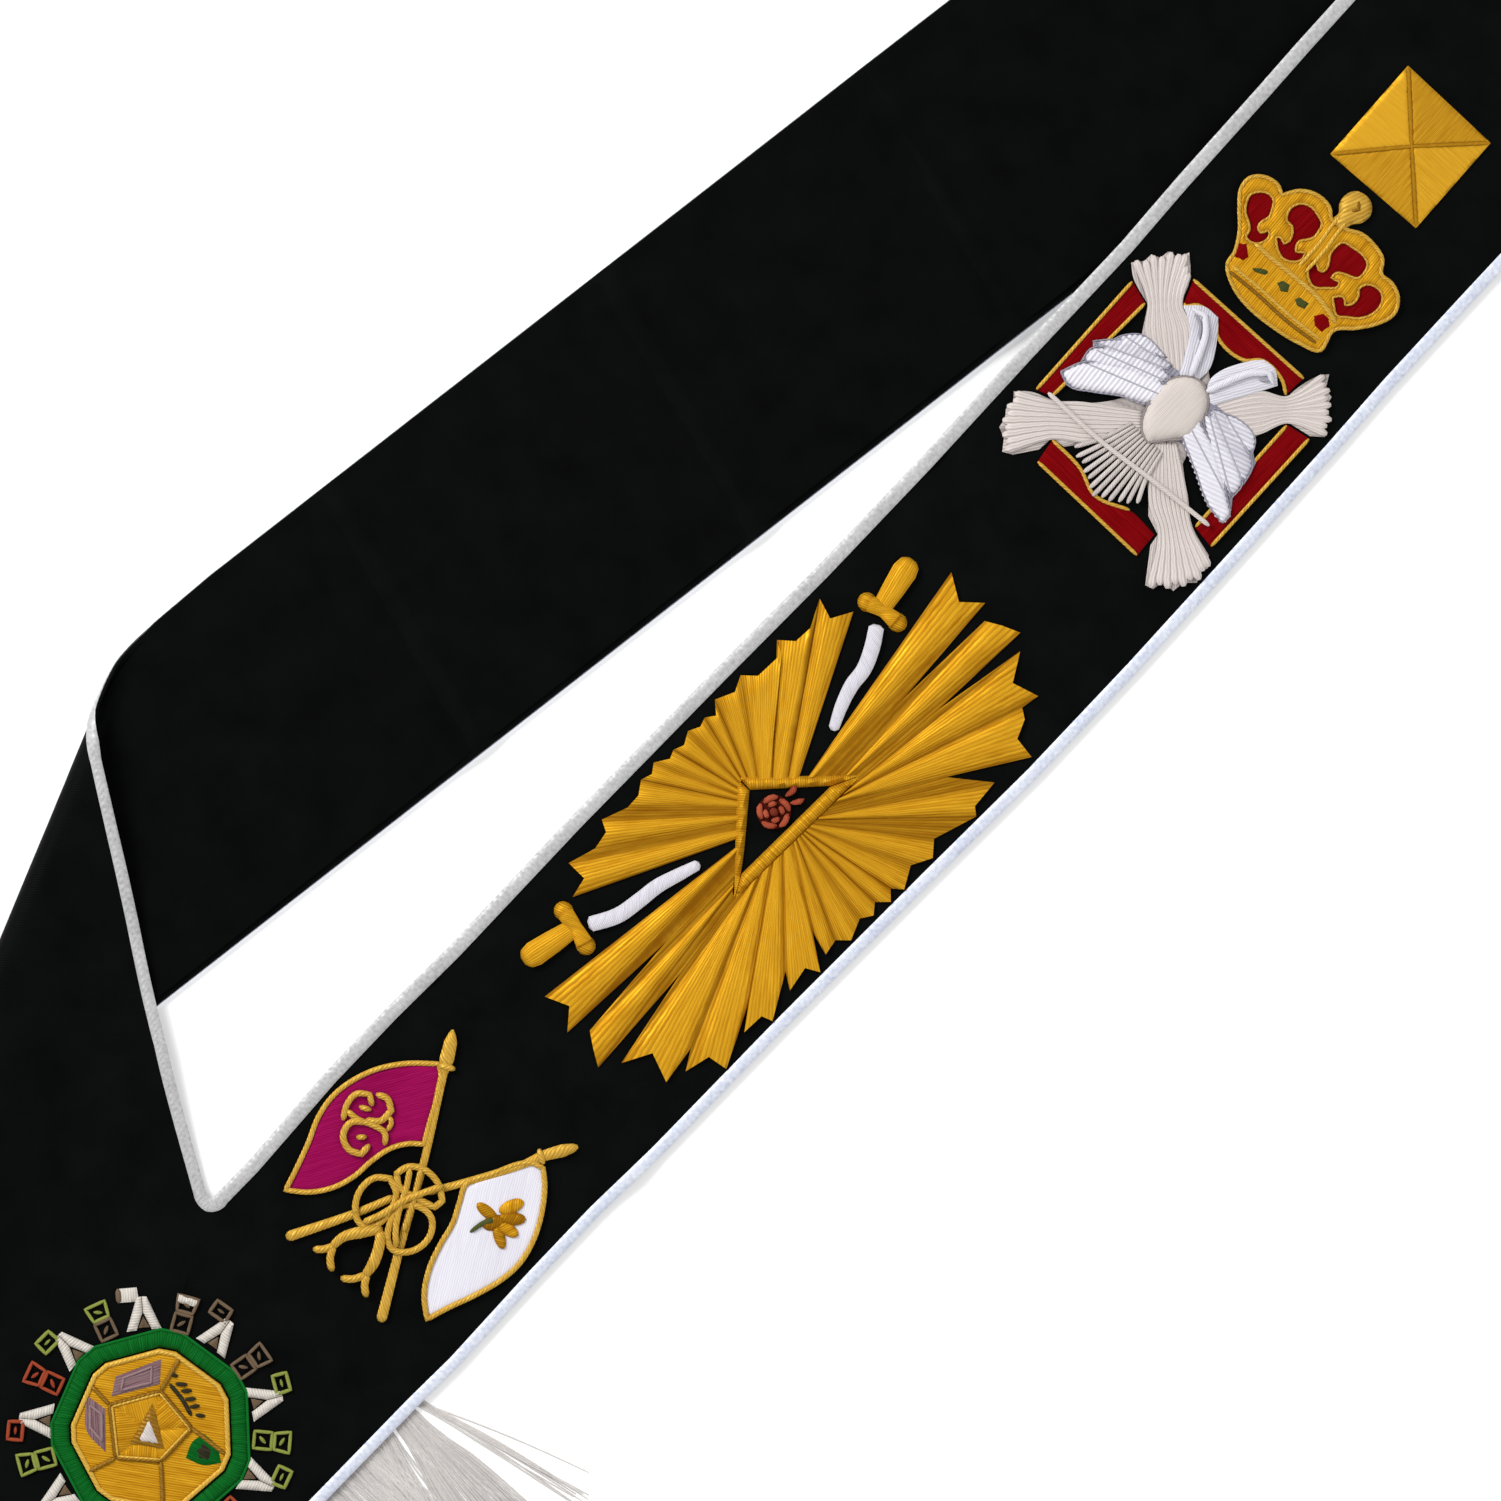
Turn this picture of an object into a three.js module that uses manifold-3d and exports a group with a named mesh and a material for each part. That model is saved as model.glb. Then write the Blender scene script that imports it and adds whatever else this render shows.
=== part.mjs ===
// A ceremonial sash: a black ribbon loop that is worn over one shoulder, mitred
// to a point at the hip, laid flat on a table with its back half folded under.
// Millimetres, +Z up. The table is z = 0 and the front band faces up.
import * as THREE from 'three';
import { mergeVertices } from 'three/addons/utils/BufferGeometryUtils.js';
import Module from 'manifold-3d';

const wasm = await Module();
wasm.setup();

// ---------- driving dimensions ----------
const V = new THREE.Vector2(-184.3, -154.2); // inner corner of the mitre
const FRONT_HEADING = 44.2; // degrees clockwise from +Y
const TIP_ACROSS = 98.5; // front band width at the mitre
const TIP_DOWN = 177.7; // how far the point lies below the inner corner
const BACK_WIDTH = 104;
const SHOULDER_AT = 850; // front length from the inner corner to the shoulder fold
const SHOULDER_TURN = 51.2; // heading of the shoulder fold's normal
const SHOULDER_LAP = 30; // how far the front band carries on under the fold
const HALF_STACK = 0.95; // lining + gap + face, halved
const PLY = 0.8; // thickness of the face and of the lining
const GAP = 0.3; // clearance between touching pieces
const BRAID_THICK = 0.9;
const LOW_MID = HALF_STACK + GAP + BRAID_THICK; // mid height of the folded-under band
const REST_LIFT = 3.4; // rise of a band that lies on the folded-under band
const LINING_FROM = 0.015; // the lining stops just short of both edges
const LINING_TO = 0.985;
const LINING_BY_FRINGE = 0.93; // and leaves room for the fringe's head at the point
const BRAID_IN = 4.6; // braid widths
const BRAID_OUT = 3.9;
const FRINGE_LONG = 64;
const FRINGE_LOCKS = 23;
const HEAD_SAG = 1.1; // the head hangs a little where the edge is lifted
const TABLE = HALF_STACK + 0; // mid height of a band that lies on the table
const SIT = HALF_STACK + 0.4; // underside of the embroidery above a band's middle

// front band edges: along, inner edge, outer edge
const FRONT_EDGES = [
  [-200, 0, TIP_ACROSS], [0, 0, TIP_ACROSS], [20, 0, 99], [60, -2.3, 97.8],
  [90, -2.6, 97.5], [120, -2, 98.5], [180, -3, 98.5], [250, -2.8, 99.5],
  [300, -2.3, 100.5], [350, -2.8, 99.8], [400, -4.2, 98.2], [450, -5, 96.3],
  [480, -6.8, 94.8], [520, -8.4, 93.8], [540, -9.4, 93.4], [850, -20.2, 82.6],
  [900, -22, 80.8],
];
// rise of the front band where it crosses the back band: along, inner, outer
const FRONT_RISE = [
  [-300, 0, 0], [332, 0, 0], [366, 3.5, 0], [568, 5.3, 0], [640, 5.6, 1.2],
  [700, 5.2, 3.2], [760, 4.2, 3.9], [900, 3.8, 3.8],
];
// packing creases across the front band: along, height
const CREASES = [[96, 0], [103, 0.7], [108, 1.3], [113, 0.7], [120, 0]];

// back band centre: on the upper layer, then on the folded-under layer
const BACK_UPPER = [[-250.0, -107.0]];
const BACK_LOWER_FROM = new THREE.Vector2(-91.97, 64.77);
const BACK_LOWER_HEADING = 52.1;
const BACK_LOWER_STRAIGHT = 224; // then it bends gently towards the shoulder
// the inner edge draws in at the side fold: along, by
const BACK_PULL = [
  [60, 0], [72, 0.7], [107, 3.4], [142, 6.5], [163, 8.5], [180, 8.5], [196, 4], [215, 1], [240, 0],
];
const SIDE_FOLD = { at: new THREE.Vector2(-220.2, 16.2), heading: 22.5, r: 5, ease: 46 };
const SHOULDER_FOLD_R = 4;

// ---------- small helpers ----------
const rad = THREE.MathUtils.degToRad;
const towards = (deg) => new THREE.Vector2(Math.sin(rad(deg)), Math.cos(rad(deg)));
const rightOf = (d) => new THREE.Vector2(d.y, -d.x);
const clamp01 = (t) => Math.min(1, Math.max(0, t));
const smooth = (t) => { const k = clamp01(t); return k * k * (3 - 2 * k); };

function tableAt(rows, key, column) {
  if (key <= rows[0][0]) return rows[0][column];
  for (let i = 1; i < rows.length; i++) {
    if (key <= rows[i][0]) {
      const t = (key - rows[i - 1][0]) / (rows[i][0] - rows[i - 1][0]);
      return rows[i - 1][column] + t * (rows[i][column] - rows[i - 1][column]);
    }
  }
  return rows[rows.length - 1][column];
}

// ---------- the front band ----------
const frontAlong = towards(FRONT_HEADING);
const frontAcross = rightOf(frontAlong);

function frontPlan(x, y) {
  return V.clone().addScaledVector(frontAcross, x).addScaledVector(frontAlong, y);
}

function frontRise(f, y) {
  const inner = tableAt(FRONT_RISE, y, 1);
  const outer = tableAt(FRONT_RISE, y, 2);
  let crease = 0;
  if (y > CREASES[0][0] && y < CREASES[CREASES.length - 1][0]) crease = tableAt(CREASES, y, 1);
  return inner + (outer - inner) * f + crease;
}

const front = {
  flat(f, s) {
    const inner = tableAt(FRONT_EDGES, s, 1);
    const outer = tableAt(FRONT_EDGES, s, 2);
    return frontPlan(inner + (outer - inner) * f, s);
  },
  rise: (f, s) => frontRise(f, s),
  fold: {
    at: frontPlan((tableAt(FRONT_EDGES, SHOULDER_AT, 1) + tableAt(FRONT_EDGES, SHOULDER_AT, 2)) / 2,
      SHOULDER_AT),
    away: towards(SHOULDER_TURN),
    axis: towards(SHOULDER_TURN - 90),
    r: SHOULDER_FOLD_R,
    ease: 60,
  },
  seam: (f) => -f * TIP_DOWN,
};

// ---------- folding a band under itself ----------
// u runs across the fold: flat above, half a roll, then flat below
function foldPoint(strap, flat, h, lift) {
  const { at, away, axis, r, ease } = strap.fold;
  const from = flat.clone().sub(at);
  const w = from.dot(away);
  const p = from.dot(axis);
  const u = w - (Math.PI / 2 - 1) * r;
  const half = (Math.PI * r) / 2;
  if (u <= -half) {
    const near = 1 - smooth((-w - r) / ease);
    const flatTop = TABLE + lift;
    const z = flatTop + (LOW_MID + 2 * r - flatTop) * near;
    return new THREE.Vector3(flat.x, flat.y, z + h);
  }
  let q = r + (u - half);
  let z = LOW_MID;
  let nq = 0;
  let nz = -1;
  if (u < half) {
    const turn = u / r + Math.PI / 2;
    q = r - r * Math.sin(turn);
    z = LOW_MID + r + r * Math.cos(turn);
    nq = Math.sin(turn);
    nz = Math.cos(turn);
  }
  const plan = at.clone().addScaledVector(axis, p).addScaledVector(away, -q + nq * h);
  return new THREE.Vector3(plan.x, plan.y, z + nz * h);
}

// ---------- the back band ----------
const mitreAxis = FRONT_HEADING - THREE.MathUtils.radToDeg(Math.atan2(TIP_ACROSS, TIP_DOWN));
const mitreLong = Math.hypot(TIP_ACROSS, TIP_DOWN);
const backHeading = mitreAxis - THREE.MathUtils.radToDeg(Math.asin(BACK_WIDTH / mitreLong));
const backAlong = towards(backHeading);
const backAcross = rightOf(backAlong).negate();
const backDown = Math.sqrt(mitreLong ** 2 - BACK_WIDTH ** 2);

const sideAxis = towards(SIDE_FOLD.heading);
const sideAway = rightOf(sideAxis).negate();
const back = {
  rise: () => 0,
  fold: { at: SIDE_FOLD.at, away: sideAway, axis: sideAxis, r: SIDE_FOLD.r, ease: SIDE_FOLD.ease },
  seam: (f) => -f * backDown,
};

// a point of the folded-under layer, opened out into the upper layer's plane
function unfold(plan) {
  const from = plan.clone().sub(back.fold.at);
  const w = -from.dot(sideAway) + (Math.PI - 2) * back.fold.r;
  return back.fold.at.clone().addScaledVector(sideAxis, from.dot(sideAxis))
    .addScaledVector(sideAway, w);
}

// the shoulder seam in plan: where the front band ends below its fold
const seamBack = SHOULDER_LAP - (Math.PI - 2) * SHOULDER_FOLD_R;
const shoulderEnd = (() => {
  const last = tableAt(FRONT_EDGES, 540, 1) + tableAt(FRONT_EDGES, 540, 2);
  const far = tableAt(FRONT_EDGES, 850, 1) + tableAt(FRONT_EDGES, 850, 2);
  const heading = frontAlong.clone().multiplyScalar(310)
    .addScaledVector(frontAcross, (far - last) / 2).normalize();
  const run = SHOULDER_LAP / heading.dot(front.fold.away);
  const flat = front.fold.at.clone().addScaledVector(heading, run);
  const q = foldPoint(front, flat, 0, 0);
  return { at: new THREE.Vector2(q.x, q.y), heading };
})();
const lowAlong = towards(BACK_LOWER_HEADING);
const bendFrom = BACK_LOWER_FROM.clone().addScaledVector(lowAlong, BACK_LOWER_STRAIGHT);
const endHeading = shoulderEnd.heading.clone()
  .addScaledVector(front.fold.away, -2 * shoulderEnd.heading.dot(front.fold.away)).negate();
const bendReach = bendFrom.distanceTo(shoulderEnd.at) / 3;
const bend = new THREE.CubicBezierCurve(
  bendFrom,
  bendFrom.clone().addScaledVector(lowAlong, bendReach),
  shoulderEnd.at.clone().addScaledVector(endHeading, -bendReach),
  shoulderEnd.at,
);
const lowPath = [-190, -125, -60, 0, 75, 150].map((d) => BACK_LOWER_FROM.clone().addScaledVector(lowAlong, d));
lowPath.push(...bend.getSpacedPoints(6));
lowPath.push(shoulderEnd.at.clone().addScaledVector(endHeading, 40));
const backStart = V.clone().addScaledVector(backAcross, BACK_WIDTH / 2);
const backCentre = new THREE.SplineCurve([
  backStart,
  ...BACK_UPPER.map(([x, y]) => new THREE.Vector2(x, y)),
  ...lowPath.map(unfold),
]);
const BACK_STEP = 2;
const backTotal = backCentre.getLength();
const backSteps = Math.round(backTotal / BACK_STEP);
const backPoints = backCentre.getSpacedPoints(backSteps);

back.flat = (f, s) => {
  const pull = tableAt(BACK_PULL, s, 1);
  const x = (f - 0.5) * BACK_WIDTH + pull * (1 - f);
  if (s <= 0) {
    return backStart.clone().addScaledVector(backAcross, x).addScaledVector(backAlong, s);
  }
  const k = Math.min(backSteps - 1.001, (s / backTotal) * backSteps);
  const i = Math.floor(k);
  const a = backPoints[i];
  const b = backPoints[i + 1];
  const before = backPoints[Math.max(0, i - 1)];
  const after = backPoints[Math.min(backSteps, i + 2)];
  const t = k - i;
  const d0 = b.clone().sub(before);
  const d1 = after.clone().sub(a);
  const along = d0.multiplyScalar(1 - t).addScaledVector(d1, t).normalize();
  const blend = Math.min(1, s / 30);
  along.lerp(backAlong, 1 - blend).normalize();
  return a.clone().lerp(b, t).addScaledVector(rightOf(along), -x);
};

// the lower edge of the folded-under band, which lifts the upper layer of the back band
const lowEdgeAt = BACK_LOWER_FROM.clone().addScaledVector(rightOf(lowAlong), BACK_WIDTH / 2);
function onLowBand(plan) {
  return -plan.clone().sub(lowEdgeAt).dot(rightOf(lowAlong));
}
back.rise = (f, s) => REST_LIFT * smooth((onLowBand(back.flat(f, s)) + 58) / 50);

// ---------- rows of stations along a band ----------
function bandPoint(strap, f, s, h) {
  return foldPoint(strap, strap.flat(f, s), h, strap.rise(f, s));
}

// the station on each line of the band where it meets a straight guide line
function meets(strap, f, start, measure) {
  let s = start;
  for (let i = 0; i < 12; i++) {
    const m = measure(f, s);
    const slope = (measure(f, s + 0.5) - m) / 0.5;
    s -= m / slope;
  }
  return s;
}

function guide(strap, row, f) {
  if (row.seam) return strap.seam(f) + row.seam;
  if (row.fold !== undefined) {
    return meets(strap, f, row.near, (g, s) =>
      strap.flat(g, s).sub(strap.fold.at).dot(strap.fold.away) - row.fold);
  }
  if (row.plan !== undefined) {
    return meets(strap, f, row.near, (g, s) => {
      const p = bandPoint(strap, g, s, 0);
      return row.plan - new THREE.Vector2(p.x, p.y).sub(front.fold.at).dot(front.fold.away);
    });
  }
  return row.s;
}

function rowsOf(strap, guides) {
  const rows = [];
  guides.forEach((row, i) => {
    if (i) {
      for (let k = 1; k < (row.parts || 1); k++) {
        rows.push({ from: guides[i - 1], to: row, t: k / row.parts });
      }
    }
    rows.push({ from: row, to: row, t: 0 });
  });
  return rows;
}

function stationOf(strap, row, f) {
  const a = guide(strap, row.from, f);
  return row.t ? a + (guide(strap, row.to, f) - a) * row.t : a;
}

const foldRows = (fold, near, turns) => {
  const list = [];
  for (let k = 0; k <= turns; k++) {
    list.push({ fold: -fold.r + (k / turns) * Math.PI * fold.r, near });
  }
  return list;
};

const frontRows = rowsOf(front, [
  { seam: 0.2, fringed: true }, { s: 20, parts: 5, fringed: true }, { s: 60 }, { s: 96 }, { s: 103 }, { s: 108 }, { s: 113 },
  { s: 120 }, { s: 180, parts: 2 }, { s: 250, parts: 2 }, { s: 300 }, { s: 332 }, { s: 350 },
  { s: 366 }, { s: 400 }, { s: 450 }, { s: 480 }, { s: 520 }, { s: 540 }, { s: 568 },
  { s: 604 }, { s: 640 }, { s: 670 }, { s: 700 }, { s: 730 }, { s: 760 },
  { fold: -64, near: 780 }, { fold: -48, near: 800 }, { fold: -34, near: 815 },
  { fold: -20, near: 830 }, { fold: -11, near: 838 },
  ...foldRows(front.fold, 850, 6), { fold: SHOULDER_LAP, near: 880, parts: 2 },
]);

const backRows = rowsOf(back, [
  { seam: 0.2, fringed: true }, { fold: -51, near: 100, parts: 6, fringed: true },
  { fold: -40, near: 100, fringed: true }, { fold: -29, near: 110, fringed: true },
  { fold: -18, near: 110, fringed: true }, { fold: -11, near: 120, fringed: true },
  ...foldRows(back.fold, 130, 6), { s: 330, parts: 4 }, { s: 500, parts: 2 },
  { s: 620, parts: 2 }, { s: 860, parts: 6 },
  { plan: -(seamBack + GAP), near: 960, parts: 4 },
]);

// ---------- solids ----------
function closed(geometry) {
  const g = geometry.clone();
  g.deleteAttribute('normal');
  g.deleteAttribute('uv');
  const m = mergeVertices(g, 1e-4);
  const index = Array.from(m.index.array);
  const p = m.attributes.position;
  const kept = [];
  for (let i = 0; i < index.length; i += 3) {
    const [a, b, c] = index.slice(i, i + 3);
    if (a !== b && b !== c && a !== c) kept.push(a, b, c);
  }
  let volume = 0;
  const [A, B, C] = [new THREE.Vector3(), new THREE.Vector3(), new THREE.Vector3()];
  for (let i = 0; i < kept.length; i += 3) {
    A.fromBufferAttribute(p, kept[i]);
    B.fromBufferAttribute(p, kept[i + 1]);
    C.fromBufferAttribute(p, kept[i + 2]);
    volume += A.dot(B.cross(C));
  }
  if (volume < 0) {
    for (let i = 0; i < kept.length; i += 3) [kept[i], kept[i + 1]] = [kept[i + 1], kept[i]];
  }
  m.setIndex(kept);
  m.computeVertexNormals();
  return m;
}

function fromGrid(top, bottom) {
  const rows = top.length;
  const cols = top[0].length;
  const positions = [];
  const index = [];
  [top, bottom].forEach((side) => side.forEach((row) =>
    row.forEach((v) => positions.push(v.x, v.y, v.z))));
  const at = (side, i, j) => side * rows * cols + i * cols + j;
  const quad = (a, b, c, d) => index.push(a, b, c, a, c, d);
  for (let i = 0; i < rows - 1; i++) {
    for (let j = 0; j < cols - 1; j++) {
      quad(at(0, i, j), at(0, i, j + 1), at(0, i + 1, j + 1), at(0, i + 1, j));
      quad(at(1, i, j), at(1, i + 1, j), at(1, i + 1, j + 1), at(1, i, j + 1));
    }
    quad(at(0, i, 0), at(0, i + 1, 0), at(1, i + 1, 0), at(1, i, 0));
    quad(at(0, i, cols - 1), at(1, i, cols - 1), at(1, i + 1, cols - 1), at(0, i + 1, cols - 1));
  }
  for (let j = 0; j < cols - 1; j++) {
    quad(at(0, 0, j), at(1, 0, j), at(1, 0, j + 1), at(0, 0, j + 1));
    quad(at(0, rows - 1, j), at(0, rows - 1, j + 1), at(1, rows - 1, j + 1), at(1, rows - 1, j));
  }
  const g = new THREE.BufferGeometry();
  g.setAttribute('position', new THREE.Float32BufferAttribute(positions, 3));
  g.setIndex(index);
  return closed(g);
}

function ply(strap, rows, fractionsOf, low, high) {
  const side = (h) => rows.map((row) => fractionsOf(row).map((f) =>
    bandPoint(strap, f, stationOf(strap, row, f), h)));
  return fromGrid(side(high), side(low));
}

// places a flat outline's solid on the front band or on the mitred point
function seat(geometry, place) {
  const g = closed(geometry);
  const p = g.attributes.position;
  for (let i = 0; i < p.count; i++) {
    const q = place(p.getX(i), p.getY(i), p.getZ(i));
    p.setXYZ(i, q.x, q.y, q.z);
  }
  return closed(g);
}

function onFront(x, y, h) {
  const inner = tableAt(FRONT_EDGES, y, 1);
  const outer = tableAt(FRONT_EDGES, y, 2);
  const plan = frontPlan(x, y);
  return new THREE.Vector3(plan.x, plan.y, TABLE + frontRise((x - inner) / (outer - inner), y) + h);
}

function onPoint(x, y, h) {
  const plan = frontPlan(x, y);
  return new THREE.Vector3(plan.x, plan.y, TABLE + h);
}

// the fringe's head follows the band's edge and its locks come down to the table
function onBackEdge(x, y, h) {
  const plan = V.clone().addScaledVector(backAcross, x).addScaledVector(backAlong, y);
  const edge = Math.max(0, bandPoint(back, Math.min(1, x / BACK_WIDTH), y, 0).z - TABLE - HEAD_SAG);
  const down = 1 - smooth((x - BACK_WIDTH) / (FRINGE_LONG * 0.6));
  return new THREE.Vector3(plan.x, plan.y, TABLE + edge * down + h);
}

const shapeOf = (points) => new THREE.Shape(points.map(([x, y]) => new THREE.Vector2(x, y)));

function slab(shape, low, high) {
  const g = new THREE.ExtrudeGeometry(shape, {
    depth: high - low, bevelEnabled: false, curveSegments: 8,
  });
  return g.translate(0, 0, low);
}

function asSolid(geometry) {
  const g = closed(geometry);
  return new wasm.Manifold(new wasm.Mesh({
    numProp: 3,
    vertProperties: new Float32Array(g.attributes.position.array),
    triVerts: new Uint32Array(g.index.array),
  }));
}

function fused(geometries) {
  let solid = asSolid(geometries[0]);
  geometries.slice(1).forEach((g) => { solid = solid.add(asSolid(g)); });
  const mesh = solid.getMesh();
  const g = new THREE.BufferGeometry();
  g.setAttribute('position', new THREE.Float32BufferAttribute(mesh.vertProperties, 3));
  g.setIndex(Array.from(mesh.triVerts));
  return g;
}

// a cord laid flat: centre points and its width at each
function cordShape(points, widths) {
  const left = [];
  const right = [];
  points.forEach(([x, y], i) => {
    const a = points[Math.max(0, i - 1)];
    const b = points[Math.min(points.length - 1, i + 1)];
    const d = new THREE.Vector2(b[0] - a[0], b[1] - a[1]).normalize();
    const w = (Array.isArray(widths) ? widths[i] : widths) / 2;
    left.push([x - d.y * w, y + d.x * w]);
    right.unshift([x + d.y * w, y - d.x * w]);
  });
  return shapeOf([...left, ...right]);
}

function ringShape(x, y, rx, ry, width, sides) {
  const round = (a, b) => Array.from({ length: sides }, (_, i) => {
    const t = (i / sides) * Math.PI * 2;
    return new THREE.Vector2(x + a * Math.cos(t), y + b * Math.sin(t));
  });
  const shape = new THREE.Shape(round(rx, ry));
  shape.holes.push(new THREE.Path(round(rx - width, ry - width).reverse()));
  return shape;
}

// pleated rays between a root line and a notched outer line
function pleats(root, outer, low, valley, ridge) {
  const runs = outer.map((p, i) => (i ? Math.hypot(p[0] - outer[i - 1][0], p[1] - outer[i - 1][1]) : 0));
  const total = runs.reduce((a, b) => a + b, 0);
  const legs = root.map((p, i) => (i ? Math.hypot(p[0] - root[i - 1][0], p[1] - root[i - 1][1]) : 0));
  const length = legs.reduce((a, b) => a + b, 0);
  const rootAt = (t) => {
    let d = t * length;
    for (let i = 1; i < root.length; i++) {
      if (d <= legs[i] || i === root.length - 1) {
        const k = clamp01(d / legs[i]);
        return [root[i - 1][0] + k * (root[i][0] - root[i - 1][0]),
          root[i - 1][1] + k * (root[i][1] - root[i - 1][1])];
      }
      d -= legs[i];
    }
    return root[root.length - 1];
  };
  let gone = 0;
  const top = [];
  const bottom = [];
  outer.forEach((p, i) => {
    gone += runs[i];
    const r = rootAt(gone / total);
    const h = p[2] ? ridge : valley;
    top.push([new THREE.Vector3(r[0], r[1], (h + ridge) / 2), new THREE.Vector3(p[0], p[1], h)]);
    bottom.push([new THREE.Vector3(r[0], r[1], low), new THREE.Vector3(p[0], p[1], low)]);
  });
  return fromGrid(top, bottom);
}

// ---------- the object ----------
const sash = new THREE.Group();
const mats = {
  cloth: [0x121413, 0.55, 0], braid: [0xc2c2c6, 0.6, 0.2], gold: [0xd79e22, 0.42, 0.35],
  crimson: [0x780410, 0.6, 0], magenta: [0x8c144b, 0.5, 0], white: [0xe6e1e6, 0.5, 0],
  green: [0x145f2b, 0.6, 0], rose: [0xb4483a, 0.6, 0], fringe: [0xcfcdc8, 0.6, 0.1],
  olive: [0x8a8c3a, 0.6, 0], brown: [0x7a6248, 0.6, 0], red: [0xa8402c, 0.6, 0],
};
function add(name, geometry, kind) {
  const [color, roughness, metalness] = mats[kind];
  const mesh = new THREE.Mesh(geometry, new THREE.MeshStandardMaterial({ color, roughness, metalness }));
  mesh.name = name;
  sash.add(mesh);
}

const across = (from, to, count) => Array.from({ length: count + 1 }, (_, i) =>
  from + ((to - from) * i) / count);
const evenly = (list) => () => list;
const liningAcross = (parts) => (row) =>
  across(LINING_FROM, row.from.fringed ? LINING_BY_FRINGE : LINING_TO, parts);
const faceLow = GAP / 2;
const faceHigh = faceLow + PLY;
const braidLow = faceHigh + GAP;
const innerF = BRAID_IN / BACK_WIDTH;
const outerF = 1 - BRAID_OUT / BACK_WIDTH;

// cloth
add('front_face', ply(front, frontRows, evenly(across(0, 1, 4)), faceLow, faceHigh), 'cloth');
add('front_lining', ply(front, frontRows, liningAcross(4), -faceHigh, -faceLow), 'cloth');
add('back_face', ply(back, backRows, evenly(across(0, 1, 5)), faceLow, faceHigh), 'cloth');
add('back_lining', ply(back, backRows, liningAcross(5), -faceHigh, -faceLow), 'cloth');

// woven braid along all four edges
for (const [side, strap, rows] of [['front', front, frontRows], ['back', back, backRows]]) {
  add(`${side}_inner_braid`, ply(strap, rows, evenly([0.002, innerF]), braidLow, braidLow + BRAID_THICK), 'braid');
  add(`${side}_outer_braid`, ply(strap, rows, evenly([outerF, 0.998]), braidLow, braidLow + BRAID_THICK), 'braid');
}

// fringe: locks on a head that is sewn under the two edges of the point
function fringe(width, down, place) {
  const inside = width - 5.3;
  const edge = width - 0.1;
  const pitch = (down - 2) / FRINGE_LOCKS;
  const locks = [];
  for (let i = 0; i < FRINGE_LOCKS; i++) {
    const y = 3 - pitch * (i + 0.5);
    const t = i / (FRINGE_LOCKS - 1);
    const lean = rad(-7 * (1 - smooth(t * 3)) + 50 * smooth((t - 0.7) / 0.3) ** 1.5);
    const dx = Math.cos(lean);
    const dy = -Math.sin(lean);
    const tip = [edge + dx * FRINGE_LONG, y + dy * FRINGE_LONG];
    const last = i === FRINGE_LOCKS - 1;
    const top = y + pitch * 0.51;
    const low = last ? y - pitch * 0.4 : y - pitch * 0.51;
    locks.push(shapeOf([
      [inside, top], [edge, top], [edge, y + pitch * 0.46],
      [tip[0] - dy * 2.6, tip[1] + dx * 2.6], [tip[0] + dx * 2.5, tip[1] + dy * 2.5],
      [tip[0] + dy * 2.6, tip[1] - dx * 2.6], [edge, last ? low : y - pitch * 0.46],
      ...(last ? [] : [[edge, low]]), [inside, last ? y + pitch * 0.3 : low],
    ]));
  }
  return fused(locks.map((lock) => seat(slab(lock, -HALF_STACK, -0.15), place)));
}
add('front_fringe', closed(fringe(TIP_ACROSS, TIP_DOWN, onPoint)), 'fringe');
add('back_fringe', closed(fringe(BACK_WIDTH, backDown, onBackEdge)), 'fringe');

// pyramid
const pyramid = new THREE.ConeGeometry(27.2, 1.8, 4, 1).rotateX(Math.PI / 2)
  .rotateZ(Math.PI / 4).translate(42.3, 541.5, SIT + 1.6);
const plinth = new THREE.BoxGeometry(38.4, 38.6, 0.9).translate(42.3, 541.5, SIT + 0.45);
add('pyramid', seat(fused([plinth, pyramid]), onFront), 'gold');

// crown: its lining shows through the openings of the frame
const CROWN = [
  [25.5, 470], [24.5, 474.5], [20.5, 481], [15, 486.5], [11, 491.5], [10.6, 496], [14, 499.8],
  [19, 501], [22.5, 499.5], [26, 505], [31.5, 508], [37, 507.8], [40.3, 505.5], [39.5, 510],
  [37.8, 513.5], [38.8, 517.5], [42, 519.3], [46, 518.8], [48.9, 515.5], [48, 511.5], [46.3, 506.5],
  [51, 509], [57, 509.3], [62, 508], [65.5, 504], [70, 504.3], [75, 502.3], [77.8, 497.5],
  [76.5, 492], [72, 485], [67, 479], [68.3, 473.5], [68.6, 471.2], [62, 468], [52, 465.6],
  [40, 464.6], [32, 466],
];
const CROWN_OPENINGS = [
  [[16, 496], [20, 497.5], [23.5, 495], [24.5, 491], [27, 488.5], [28.5, 486.5], [26.5, 481.5],
    [23, 481.5], [20.5, 487], [15.5, 491.5]],
  [[27.5, 499], [30, 503], [35.5, 504], [39.5, 502], [40.3, 496], [36.5, 492.5], [42.5, 490.5],
    [40, 485.3], [35, 484.8], [31, 489], [34.5, 491.5], [33.5, 494.5], [28.5, 496]],
  [[47.5, 500], [50.5, 504], [57, 504.2], [61, 501.5], [59.5, 496.5], [53.5, 494], [57.5, 491.5],
    [55, 487.5], [50.5, 485.2], [46.5, 490.8], [50, 492.3], [50.5, 495.5], [48, 497]],
  [[63.5, 498.5], [68, 500.3], [72.5, 497.5], [72.3, 491.5], [68.5, 486], [64.8, 483.3],
    [59.5, 487.3], [61.5, 489.5], [65, 489.5]],
];
const crownShape = shapeOf(CROWN);
CROWN_OPENINGS.forEach((o) => crownShape.holes.push(
  new THREE.Path(o.map(([x, y]) => new THREE.Vector2(x, y)).reverse())));
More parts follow.
